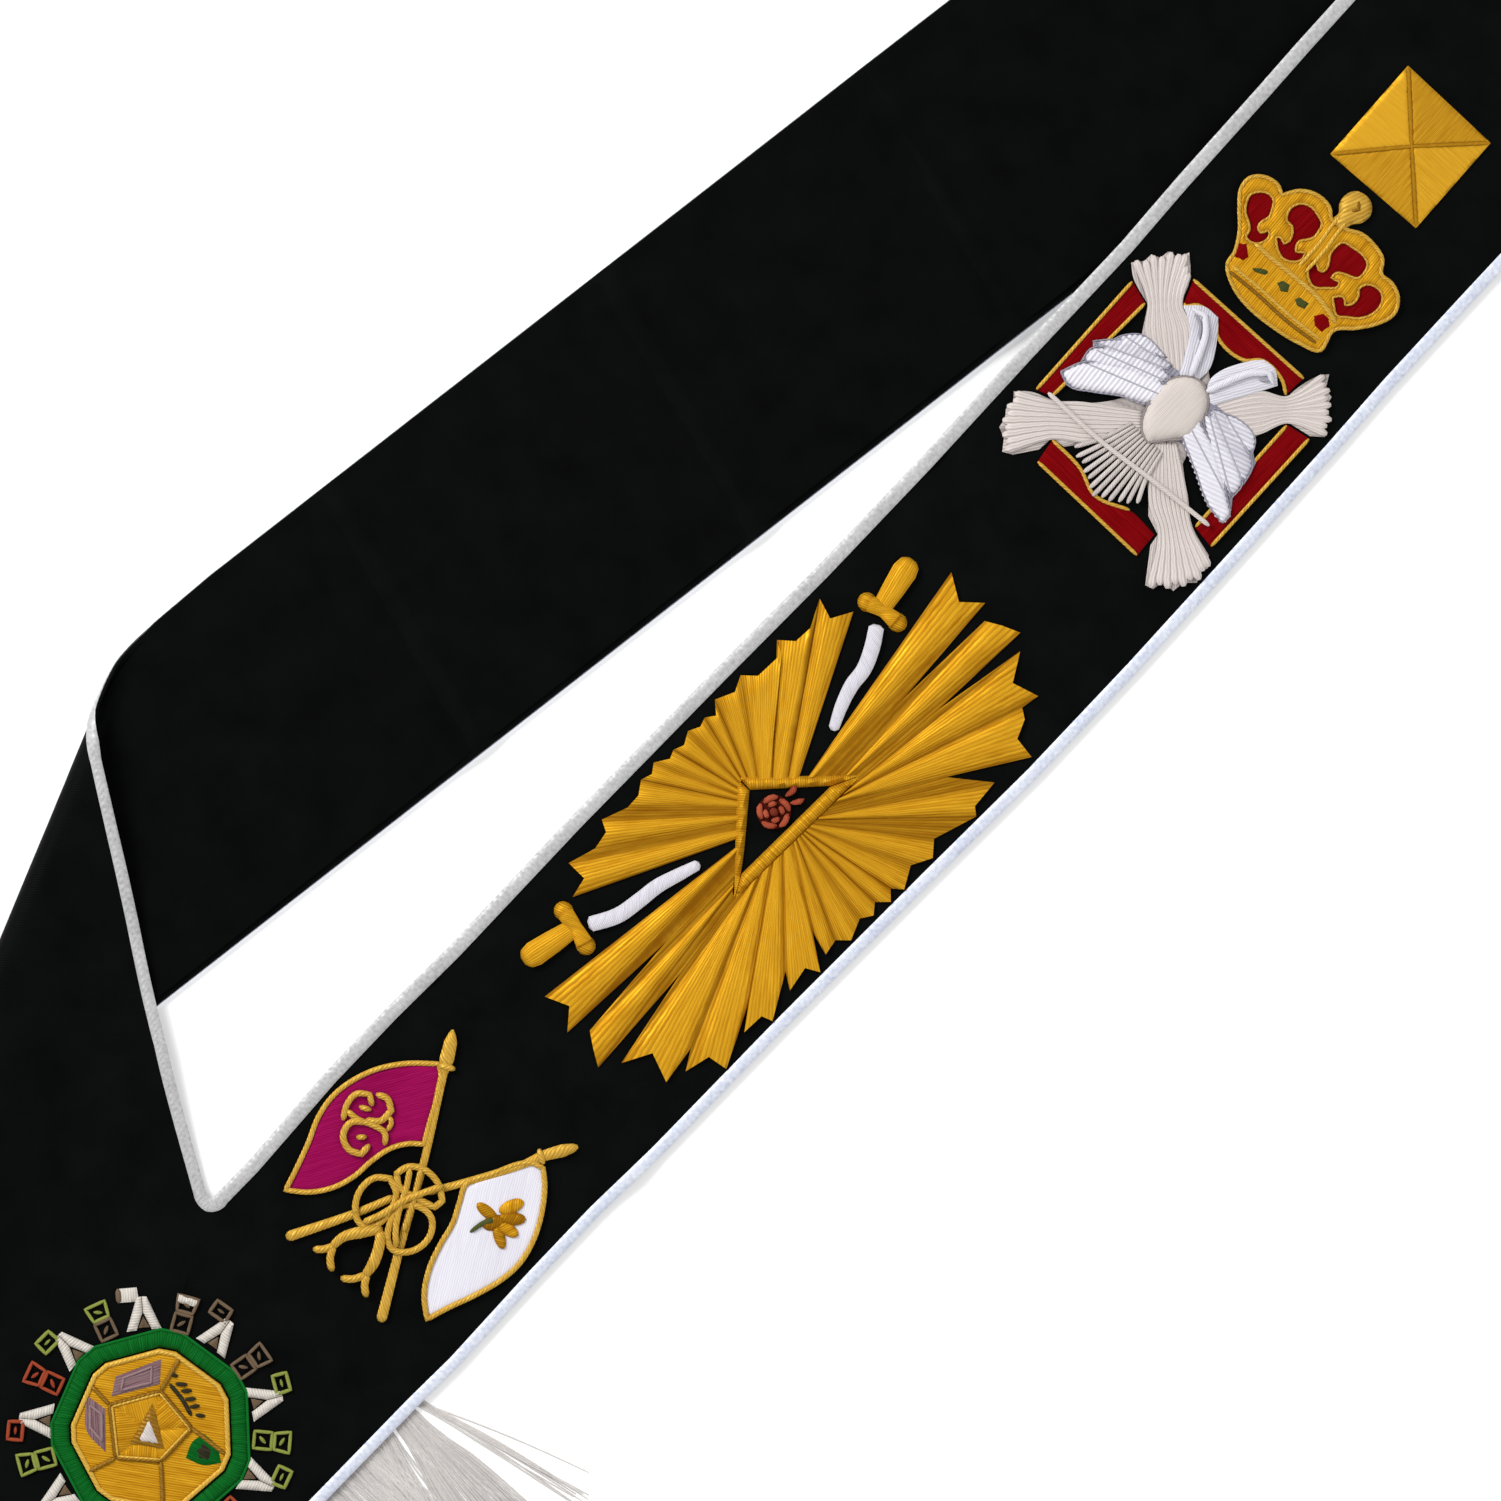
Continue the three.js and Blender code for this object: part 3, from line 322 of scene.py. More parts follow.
def unfold(plan):
    """Opens a place of the folded-under layer out into the upper layer's plane."""
    start = plan - SIDE_FOLD["at"]
    w = -(start @ SIDE_AWAY) + (math.pi - 2) * SIDE_FOLD["r"]
    return SIDE_FOLD["at"] + (start @ SIDE_AXIS) * SIDE_AXIS + w * SIDE_AWAY


def bezier(a, b, c, d, t):
    t = t[:, None]
    return (1 - t)**3 * a + 3 * (1 - t)**2 * t * b + 3 * (1 - t) * t**2 * c + t**3 * d


def even(points, count):
    """Points at equal steps along a line of points."""
    steps = np.hypot(*np.diff(points, axis=0).T)
    gone = np.concatenate([[0], np.cumsum(steps)])
    at = np.linspace(0, gone[-1], count)
    return np.stack([np.interp(at, gone, points[:, k]) for k in (0, 1)], axis=1)


def spline(points, t):
    """A smooth curve through the points; t runs from 0 to 1."""
    n = len(points)
    p = (n - 1) * t
    i = np.minimum(np.floor(p).astype(int), n - 2)
    w = (p - i)[:, None]
    p0, p1 = points[np.maximum(i - 1, 0)], points[i]
    p2, p3 = points[i + 1], points[np.minimum(i + 2, n - 1)]
    v0, v1 = (p2 - p0) / 2, (p3 - p1) / 2
    cubic = (2 * p1 - 2 * p2 + v0 + v1) * w**3
    return cubic + (-3 * p1 + 3 * p2 - 2 * v0 - v1) * w**2 + v0 * w + p1


run_far = sum(column(FRONT_EDGES, 850, k) for k in (1, 2))
run_near = sum(column(FRONT_EDGES, 540, k) for k in (1, 2))
shoulder_run = 310 * ALONG + (run_far - run_near) / 2 * ACROSS
shoulder_run /= np.hypot(*shoulder_run)
lap = SHOULDER_LAP / (shoulder_run @ FRONT["away"])
shoulder_end = fold_point(FRONT, FRONT["at"] + shoulder_run * lap, 0, 0)[:2]
end_along = -(shoulder_run - 2 * (shoulder_run @ FRONT["away"]) * FRONT["away"])
bend_from = LOWER_FROM + LOWER_STRAIGHT * LOWER_ALONG
reach = np.hypot(*(shoulder_end - bend_from)) / 3
bend = bezier(bend_from, bend_from + reach * LOWER_ALONG,
              shoulder_end - reach * end_along, shoulder_end, np.linspace(0, 1, 201))
lower_path = [LOWER_FROM + d * LOWER_ALONG for d in (-190, -125, -60, 0, 75, 150)]
lower_path += list(even(bend, 7))
lower_path.append(shoulder_end + 40 * end_along)
back_start = CORNER + BACK_ACROSS * BACK_WIDTH / 2
back_knots = np.array([back_start, np.array([-250, -107]) + SHIFT]
                      + [unfold(p) for p in lower_path])
back_samples = spline(back_knots, np.linspace(0, 1, 201))
sample_steps = np.hypot(*np.diff(back_samples, axis=0).T)
back_gone = np.concatenate([[0], np.cumsum(sample_steps)])
BACK_TOTAL = back_gone[-1]
BACK_STEPS = round(BACK_TOTAL / 2)
back_t = np.interp(np.linspace(0, BACK_TOTAL, BACK_STEPS + 1), back_gone,
                   np.linspace(0, 1, 201))
back_line = spline(back_knots, back_t)
print("back strap's centre line, mm:", round(BACK_TOTAL))

# %% The back strap


def unit(v):
    return v / np.linalg.norm(v, axis=-1, keepdims=True)


def back_flat(f, s):
    x = (f - 0.5) * BACK_WIDTH + column(BACK_PULL, s, 1) * (1 - f)
    k = np.clip(s / BACK_TOTAL * BACK_STEPS, 0, BACK_STEPS - 1.001)
    i = np.floor(k).astype(int)
    t = (k - i)[..., None]
    a, b = back_line[i], back_line[i + 1]
    before = back_line[np.maximum(i - 1, 0)]
    after = back_line[np.minimum(i + 2, BACK_STEPS)]
    along = unit((b - before) * (1 - t) + (after - a) * t)
    blend = np.clip(s / 30, 0, 1)[..., None]
    along = unit(along * blend + BACK_ALONG * (1 - blend))
    side = np.stack([along[..., 1], -along[..., 0]], axis=-1)
    curved = a * (1 - t) + b * t - side * x[..., None]
    straight = back_start + x[..., None] * BACK_ACROSS + s[..., None] * BACK_ALONG
    return np.where((s <= 0)[..., None], straight, curved)


lower_edge = LOWER_FROM + right_of(LOWER_ALONG) * BACK_WIDTH / 2


def back_rise(f, s):
    over = -(back_flat(f, s) - lower_edge) @ right_of(LOWER_ALONG)
    return REST_LIFT * smooth((over + 58) / 50)


BACK = {"flat": back_flat, "rise": back_rise, **SIDE_FOLD}


def station_at(f, start, measure):
    """The station on each line of a strap where a measure comes to nothing."""
    s = np.full_like(f, start)
    for _ in range(14):
        m = measure(f, s)
        s = s - m / ((measure(f, s + 0.5) - m) / 0.5)
    return s


def past_fold(strap, distance):
    return lambda f, s: (strap["flat"](f, s) - strap["at"]) @ strap["away"] - distance


seam_back = SHOULDER_LAP - (math.pi - 2) * FRONT["r"]


def to_shoulder_seam(f, s):
    plan = on_strap(BACK, f, s, 0)[..., :2]
    return -(seam_back + 0.15) - (plan - FRONT["at"]) @ FRONT["away"]


def strap_rows(strap, f):
    """Stations from the mitre to the shoulder, slanted where a seam or fold is.

    Each stop holds its stations and how many rows lead up to it.
    """
    stops = [(strap["seam"](f) + 0.05, 0)]
    if strap is FRONT:
        stops.append((np.full_like(f, 20), 44))
        stops.append((np.full_like(f, 92), 22))
        stops.append((np.full_like(f, 124), 24))
        stops.append((np.full_like(f, 760), 190))
        stops.append((station_at(f, 840, past_fold(strap, -6)), 30))
        stops.append((station_at(f, 850, past_fold(strap, 14)), 20))
        stops.append((station_at(f, 880, past_fold(strap, SHOULDER_LAP)), 6))
    else:
        stops.append((station_at(f, 100, past_fold(strap, -51)), 50))
        stops.append((station_at(f, 120, past_fold(strap, -8)), 18))
        stops.append((station_at(f, 130, past_fold(strap, 18)), 22))
        stops.append((np.full_like(f, 330), 50))
        stops.append((np.full_like(f, 860), 150))
        stops.append((station_at(f, 960, to_shoulder_seam), 34))
    rows = [stops[0][0]]
    for (before, _), (after, parts) in zip(stops, stops[1:]):
        for k in range(1, parts + 1):
            rows.append(before + (after - before) * k / parts)
    return np.array(rows)


# %% [markdown]
# ## Ribbon cloth
# A ribbon is a flat weave, so a grid that follows the strap is the natural start.
# Each ply is a grid of small quads with its own UV map in millimetres: U across the
# ribbon and V along it. The Solidify modifier then gives the ply its thickness.
# Folding has pressed soft creases into the cloth. They are low folds in the mesh,
# so the light finds them by itself.

# %% A strip of cloth or braid from rows of stations


def strip_of_strap(name, strap, f, rows, height, width=BACK_WIDTH):
    """A grid over a strap; height(f, s) gives h. The UV map is in millimetres."""
    grid_f = np.broadcast_to(f, rows.shape)
    points = on_strap(strap, grid_f, rows, height(grid_f, rows))
    count, wide = rows.shape
    faces = []
    for i in range(count - 1):
        for j in range(wide - 1):
            a = i * wide + j
            faces.append((a, a + 1, a + wide + 1, a + wide))
    piece = mesh_piece(name, points.reshape(-1, 3), faces)
    uv = np.stack([grid_f * width, rows], axis=-1).reshape(-1, 2)
    layer = piece.data.uv_layers.new(name="cloth")
    loops = np.zeros(len(piece.data.loops), int)
    piece.data.loops.foreach_get("vertex_index", loops)
    layer.data.foreach_set("uv", uv[loops].ravel())
    return piece


def face_up(piece):
    """Turns the faces over if they look down where the strap lies face up."""
    total = sum((p.normal.z * p.area for p in piece.data.polygons[:400]), 0.0)
    if total < 0:
        piece.data.flip_normals()


def thicken(piece, thickness, offset):
    only(piece)
    solid = piece.modifiers.new("ply", "SOLIDIFY")
    solid.thickness = thickness * MM
    solid.offset = offset
    solid.use_even_offset = True
    bpy.ops.object.modifier_apply(modifier="ply")


# %% Pressed creases across the folded-under band
# pixel across, pixel down, depth and width in millimetres
LOWER_CREASES = ((395, 606, 1.3, 26), (677, 400, 1.3, 26), (935, 190, 1.2, 26))
# station, depth and width in millimetres
PRESSED = ((358, 0.8, 14), (112, 0.8, 10), (-24, 0.4, 12))


def pixel_place(px, py):
    """A pixel of the photograph as a place in plan, in millimetres."""
    return CENTRE / MM + np.array([px - PHOTO_PIXELS / 2, PHOTO_PIXELS / 2 - py]) * PIXEL / MM


def crease_stations():
    """Where each crease of the lower band crosses the back strap."""
    lines = []
    tries = np.linspace(150, 700, 1101)
    middle = on_strap(BACK, 0.5, tries, 0)[:, :2]
    for px, py, depth, wide in LOWER_CREASES:
        away = np.hypot(*(middle - pixel_place(px, py)).T)
        lines.append((tries[away.argmin()], depth, wide))
    return lines


back_creases = crease_stations()
print("creases on the back strap at, mm:", [round(c[0]) for c in back_creases])


def cloth_relief(strap):
    """Low folds and waves in the cloth, in millimetres."""
    found = back_creases if strap is BACK else PRESSED

    def relief(f, s):
        total = np.zeros_like(s)
        for at, depth, wide in found:
            lean = (f - 0.5) * (-14 if strap is BACK else 8)
            t = (s - at - lean) / wide
            total = total - depth * np.exp(-(t * 3.2)**2)
            total = total + 0.45 * depth * np.exp(-((t - 0.62) * 3.2)**2)
        ripple = np.sin(s / 31.0 + f * 2.1) * np.sin(s / 17.3 - f * 3.7)
        return total + 0.06 * ripple

    return relief


# %% Cut the four plies
COLUMNS = 36
LINING_EDGE = 0.02
LINING_TOP = -0.15
share = np.linspace(0, 1, COLUMNS + 1)
plies = {}
for side, strap in (("front", FRONT), ("back", BACK)):
    rows = strap_rows(strap, share)
    relief = cloth_relief(strap)
    face = strip_of_strap(f"{side}_ribbon", strap, share, rows,
                          lambda f, s: HALF_STACK + np.minimum(relief(f, s), 0.0))
    inner = np.linspace(LINING_EDGE, 1 - LINING_EDGE, COLUMNS + 1)
    lining_rows = strap_rows(strap, inner)
    lining = strip_of_strap(f"{side}_backing", strap, inner, lining_rows,
                            lambda f, s: LINING_TOP + 0 * s)
    for piece in (face, lining):
        face_up(piece)
        thicken(piece, PLY, -1)
        smooth_faces(piece, 40)
        plies[piece.name] = piece
    print(side, "plies:", triangles(face), "and", triangles(lining), "triangles")

# %% [markdown]
# ## Shader groups for thread and cloth
# Weave and thread lines show up in nearly every finish, so they are built once as
# node groups. Both read a UV map in millimetres. They give back masks and heights,
# and each material decides what to do with them.

# %% Small helpers for shader nodes


def new_node(tree, kind, place=(0, 0), **settings):
    node = tree.nodes.new(kind)
    node.location = place
    for key, value in settings.items():
        setattr(node, key, value)
    return node


def math_node(tree, operation, a, b=None, place=(0, 0), c=None):
    node = new_node(tree, "ShaderNodeMath", place, operation=operation)
    for socket, value in zip(node.inputs, (a, b, c)):
        if value is None:
            continue
        if isinstance(value, (int, float)):
            socket.default_value = value
        else:
            tree.links.new(value, socket)
    return node.outputs[0]


def noise(tree, vector, scale, detail, place):
    """Noise over a vector, such as a UV map in millimetres."""
    node = new_node(tree, "ShaderNodeTexNoise", place)
    node.inputs["Scale"].default_value = scale
    node.inputs["Detail"].default_value = detail
    tree.links.new(vector, node.inputs["Vector"])
    return node


def group_with(name, inputs, outputs):
    """An empty node group with named sockets: (name, kind, default)."""
    group = bpy.data.node_groups.new(name, "ShaderNodeTree")
    for label, kind, value in inputs:
        socket = group.interface.new_socket(label, in_out="INPUT", socket_type=kind)
        if value is not None:
            socket.default_value = value
    for label, kind in outputs:
        group.interface.new_socket(label, in_out="OUTPUT", socket_type=kind)
    start = new_node(group, "NodeGroupInput", (-900, 0))
    end = new_node(group, "NodeGroupOutput", (700, 0))
    return group, start, end


# %% The thread group: fine parallel threads with uneven tone
thread_group, start, end = group_with(
    "thread_lines",
    [("Vector", "NodeSocketVector", None), ("Pitch", "NodeSocketFloat", 0.7),
     ("Wander", "NodeSocketFloat", 0.5)],
    [("Ridge", "NodeSocketFloat"), ("Streak", "NodeSocketFloat")],
)
split = new_node(thread_group, "ShaderNodeSeparateXYZ", (-700, 100))
thread_group.links.new(start.outputs["Vector"], split.inputs[0])
loose = noise(thread_group, start.outputs["Vector"], 0.35, 2, (-700, -150))
shift = math_node(thread_group, "SUBTRACT", loose.outputs["Fac"], 0.5, (-500, -150))
shift = math_node(thread_group, "MULTIPLY", shift, start.outputs["Wander"], (-350, -150))
across_threads = math_node(thread_group, "ADD", split.outputs["X"], shift, (-350, 50))
turns = math_node(thread_group, "DIVIDE", across_threads, start.outputs["Pitch"], (-200, 50))
wave = math_node(thread_group, "MULTIPLY", turns, math.tau, (-50, 50))
wave = math_node(thread_group, "SINE", wave, None, (100, 50))
wave = math_node(thread_group, "MULTIPLY_ADD", wave, 0.5, (250, 50), 0.5)
thread_group.links.new(wave, end.inputs["Ridge"])
lay = new_node(thread_group, "ShaderNodeCombineXYZ", (-50, -200))
slow = math_node(thread_group, "MULTIPLY", split.outputs["Y"], 0.07, (-200, -300))
thread_group.links.new(turns, lay.inputs[0])
thread_group.links.new(slow, lay.inputs[1])
tone = noise(thread_group, lay.outputs[0], 0.9, 3, (100, -200))
tone.inputs["Roughness"].default_value = 0.65
thread_group.links.new(tone.outputs["Fac"], end.inputs["Streak"])

# %% The weave group: ribs across the ribbon, warp lines along it
weave_group, start, end = group_with(
    "ribbon_weave",
    [("Vector", "NodeSocketVector", None), ("Rib", "NodeSocketFloat", 0.8),
     ("Warp", "NodeSocketFloat", 0.55)],
    [("Height", "NodeSocketFloat"), ("Fleck", "NodeSocketFloat")],
)
split = new_node(weave_group, "ShaderNodeSeparateXYZ", (-700, 100))
weave_group.links.new(start.outputs["Vector"], split.inputs[0])
rib = math_node(weave_group, "DIVIDE", split.outputs["Y"], start.outputs["Rib"], (-500, 150))
rib = math_node(weave_group, "SINE", math_node(weave_group, "MULTIPLY", rib, math.tau), None)
warp = math_node(weave_group, "DIVIDE", split.outputs["X"], start.outputs["Warp"], (-500, -50))
warp = math_node(weave_group, "SINE", math_node(weave_group, "MULTIPLY", warp, math.tau), None)
both = math_node(weave_group, "MULTIPLY_ADD", warp, 0.35, (0, 50), rib)
weave_group.links.new(both, end.inputs["Height"])
fleck = noise(weave_group, start.outputs["Vector"], 0.06, 5, (0, -200))
weave_group.links.new(fleck.outputs["Fac"], end.inputs["Fleck"])
print("shader groups:", [g.name for g in bpy.data.node_groups])

# %% Helpers that start a finish


def finish_of(name, uv_name):
    """A material with its Principled shader and the piece's UV map."""
    material = bpy.data.materials.new(name)
    material.use_nodes = True
    tree = material.node_tree
    shader = tree.nodes["Principled BSDF"]
    shader.location = (500, 0)
    tree.nodes["Material Output"].location = (800, 0)
    uv = new_node(tree, "ShaderNodeUVMap", (-900, 0), uv_map=uv_name)
    return material, tree, shader, uv.outputs["UV"]


def mix_colours(tree, factor, a, b, place=(0, 0), blend="MIX"):
    node = new_node(tree, "ShaderNodeMix", place, data_type="RGBA", blend_type=blend)
    for key, value in ((0, factor), (6, a), (7, b)):
        if isinstance(value, (int, float)):
            node.inputs[key].default_value = value
        elif isinstance(value, tuple):
            node.inputs[key].default_value = (*value, 1)
        else:
            tree.links.new(value, node.inputs[key])
    return node.outputs[2]


def ranged(tree, value, low, high, to_low, to_high, place=(0, 0)):
    node = new_node(tree, "ShaderNodeMapRange", place)
    tree.links.new(value, node.inputs["Value"])
    for key, number in zip(("From Min", "From Max", "To Min", "To Max"),
                           (low, high, to_low, to_high)):
        node.inputs[key].default_value = number
    return node.outputs["Result"]


def bump(tree, height, strength, depth, place=(250, -300)):
    node = new_node(tree, "ShaderNodeBump", place)
    node.inputs["Strength"].default_value = strength
    node.inputs["Distance"].default_value = depth * MM
    tree.links.new(height, node.inputs["Height"])
    return node.outputs["Normal"]


# %% [markdown]
# ## The black of the ribbon
# The ribbon is a close, near-black weave that keeps a faint green-grey shine.
# Black cloth still needs variation: the flecks change its tone a little over
# several centimetres, and fine ribs break up the highlight.

# %% Black ribbon finish


def ribbon_finish(name, dark, light, shine):
    material, tree, shader, uv = finish_of(name, "cloth")
    weave = new_node(tree, "ShaderNodeGroup", (-600, 0))
    weave.node_tree = weave_group
    tree.links.new(uv, weave.inputs["Vector"])
    fleck = ranged(tree, weave.outputs["Fleck"], 0.3, 0.7, 0, 1, (-350, 100))
    tree.links.new(mix_colours(tree, fleck, dark, light, (0, 100)),
                   shader.inputs["Base Color"])
    tree.links.new(ranged(tree, weave.outputs["Fleck"], 0.3, 0.7, 0.52, 0.66, (0, -100)),
                   shader.inputs["Roughness"])
    tree.links.new(bump(tree, weave.outputs["Height"], 0.25, 0.08), shader.inputs["Normal"])
    shader.inputs["Specular IOR Level"].default_value = shine
    shader.inputs["Sheen Weight"].default_value = 0.008
    shader.inputs["Sheen Roughness"].default_value = 0.4
    return material


ribbon_black = ribbon_finish("ribbon_black", (0.0010, 0.0014, 0.0012),
                             (0.0026, 0.0034, 0.0030), 0.035)
backing_black = ribbon_finish("backing_black", (0.0010, 0.0012, 0.0011),
                              (0.0022, 0.0026, 0.0024), 0.03)
for name, piece in plies.items():
    piece.data.materials.append(backing_black if "backing" in name else ribbon_black)
    settle(piece, name, name.replace("ribbon", "face").replace("backing", "lining"))

# %% [markdown]
# ## Braid
# A flat silver braid is sewn along each edge. Its yarns cross in small slanted
# plaits. They are real relief here, because the low light catches them: each row
# of the strip rises and falls in a chevron, and the cross-section is domed.

# %% Plait the braid along both edges of a strap
BRAID_IN = 4.6
BRAID_OUT = 3.9
BRAID_LOW = 1.25
BRAID_HIGH = 2.15
PLAIT = 2.2
BRAID_STEP = 0.75
BRAID_RELIEF = 0.16
BRAID_BODY = 0.25


def braid_height(from_f, to_f, width):
    """Domed section with chevron plaits."""

    def height(f, s):
        t = (f - from_f) / (to_f - from_f)
        dome = np.sqrt(np.clip(1 - (2 * t - 1)**2 * 0.96, 0, 1))
        slant = s + np.abs(t - 0.5) * width * 0.9
        plait = np.sin(math.tau * slant / PLAIT)
        tall = BRAID_HIGH - BRAID_LOW - BRAID_RELIEF
        return BRAID_LOW + tall * dome + BRAID_RELIEF * plait * dome

    return height


def braid_rows(strap, f):
    coarse = strap_rows(strap, f)
    gone = np.concatenate([[0], np.cumsum(np.abs(np.diff(coarse.mean(axis=1))))])
    count = round(gone[-1] / BRAID_STEP)
    at = np.linspace(0, gone[-1], count + 1)
    return np.stack([np.interp(at, gone, coarse[:, j]) for j in range(len(f))], axis=1)


def close_underneath(piece, drop):
    """Gives a domed strip a thin body: a Solidify copy of the strip lies under it, and the rim
    joins the two.
    """
    only(piece)
    solid = piece.modifiers.new("body", "SOLIDIFY")
    solid.thickness = drop * MM
    solid.offset = -1
    bpy.ops.object.modifier_apply(modifier="body")


NOTCH_ROUND = 2.2
NOTCH_REACH = 3.83
NOTCH_TURN = math.radians(60.1)
NOTCH_SWELL = {"front": 0.0, "back": 0.21}
BACK_BRAID_IN = 3.8
EDGE_WRAP = 0.4


def round_notch(side, f, s, points):
    """Carries the inner braids round the corner where the two halves meet."""
    v, down = f * BACK_WIDTH, (TIP_DOWN / TIP_ACROSS if side == "front" else
                               BACK_DOWN / BACK_WIDTH)
    share = (s + down * v) / (NOTCH_REACH + down * v)
    turn = NOTCH_TURN * (1.02 - np.clip(share, 0, 1))
    wide = NOTCH_ROUND + v * (1 + NOTCH_SWELL[side] * (turn / NOTCH_TURN)**2)
    x = wide * np.cos(turn) - NOTCH_ROUND
    y = NOTCH_REACH - wide * np.sin(turn)
    over, up = (ACROSS, ALONG) if side == "front" else (BACK_ACROSS, BACK_ALONG)
    plan = CORNER + x[..., None] * over + y[..., None] * up
    return np.where((share < 1)[..., None], plan, points)


braids = {}
for side, strap in (("front", FRONT), ("back", BACK)):
    inside_wide = BRAID_IN if side == "front" else BACK_BRAID_IN
    wrap = EDGE_WRAP / BACK_WIDTH
    edges = (("inner", -wrap, inside_wide / BACK_WIDTH, inside_wide),
             ("outer", 1 - BRAID_OUT / BACK_WIDTH, 1 + wrap, BRAID_OUT))
    for edge, from_f, to_f, width in edges:
        f = np.linspace(from_f, to_f, 9)
        rows = braid_rows(strap, f)
        piece = strip_of_strap(f"{side}_{edge}_braid_yarn", strap, f, rows,
                               braid_height(from_f, to_f, width))
        if edge == "inner":
            across_all = np.broadcast_to(f, rows.shape).ravel()
            for vertex, share_across, station in zip(piece.data.vertices, across_all,
                                                     rows.ravel()):
                if station < NOTCH_REACH:
                    here = np.array(vertex.co[:2]) / MM
                    moved = round_notch(side, share_across, station, here)
                    vertex.co[:2] = moved * MM
        face_up(piece)
        close_underneath(piece, BRAID_BODY)
        smooth_faces(piece, 60)
        braids[side, edge] = piece
        print(piece.name, triangles(piece), "triangles")

# %% Silver braid finish
GRAIN_SCALE = 0.7


def silver_finish(name, shade, light):
    """Silver-white yarn with a random mottle; the colour follows the bump's grain, so the dips get
    painted shade and the crowns a painted highlight.
    """
    material, tree, shader, uv = finish_of(name, "cloth")
    grain = noise(tree, uv, GRAIN_SCALE, 2, (-600, 100))
    patch = noise(tree, uv, 0.05, 3, (-600, -200))
    total = math_node(tree, "MULTIPLY_ADD", patch.outputs["Fac"], 0.5, (-350, 0),
                      grain.outputs["Fac"])
    fac = ranged(tree, total, 0.40, 1.10, 0, 1, (-150, 0))
    tree.links.new(mix_colours(tree, fac, shade, light, (100, 100)),
                   shader.inputs["Base Color"])
    tree.links.new(ranged(tree, grain.outputs["Fac"], 0.3, 0.7, 0.62, 0.42, (100, -100)),
                   shader.inputs["Roughness"])
    tree.links.new(bump(tree, grain.outputs["Fac"], 0.3, 0.12), shader.inputs["Normal"])
    shader.inputs["Metallic"].default_value = 0.15
    shader.inputs["Specular IOR Level"].default_value = 0.35
    return material


inner_silver = silver_finish("inner_silver", (0.36, 0.355, 0.36), (0.66, 0.66, 0.665))
outer_silver = silver_finish("outer_silver", (0.52, 0.56, 0.72), (0.90, 0.93, 1.0))
for (side, edge), piece in braids.items():
    piece.data.materials.append(inner_silver if edge == "inner" else outer_silver)
    settle(piece, piece.name, f"{side}_{edge}_braid")

# %% [markdown]
# ## Fringe
# The fringe is several hundred twisted strands that hang from a sewn head. One
# strand would need no care at all, but the mass of them has to look combed by hand:
# so each lock has its own lean, each strand its own length and curve, and a few
# strands stray. All strands of one fringe are one mesh with a tone for each strand:
# a random tone, with painted shade on the strands that lie lower and near the roots.

# %% Comb the fringe
FRINGE_LONG = 64.0
FRINGE_LOCKS = 23
STRANDS_PER_MM = 4.2
FIRST_LOCKS = (0.42, 1.60, 1.10)
FIRST_LEANS = (-14.0, 6.0, 17.0)
FIRST_SPLAYS = (1.0, 19.0, 6.0)
STRAND_STEPS = 9
STRAND_THICK = 0.33
FRINGE_FLOOR = -0.93
HEAD_IN = 4.6
HEAD_LAP = 4.4
HEAD_SAG = 1.1
LOOSE_LOCKS = (1, 2)
FILLED = 0.98
LOOSELY_FILLED = 0.82
STRAY_CHANCE = 0.02


def point_place(x, y, h):
    """A place on the flat mitred point, in millimetres."""
    plan = front_plan(x, y)
    return np.concatenate([plan, np.broadcast_to(HALF_STACK + h, x.shape)[..., None]], -1)


def back_edge_place(x, y, h):
    """A place beside the back strap's lower edge, in millimetres."""
    plan = CORNER + x[..., None] * BACK_ACROSS + y[..., None] * BACK_ALONG
    edge = on_strap(BACK, np.minimum(1, x / BACK_WIDTH), y, 0)[..., 2]
    edge = np.maximum(0, edge - HALF_STACK - HEAD_SAG)
    down = 1 - smooth((x - BACK_WIDTH) / (FRINGE_LONG * 0.6))
    return np.concatenate([plan, (HALF_STACK + edge * down + h)[..., None]], -1)


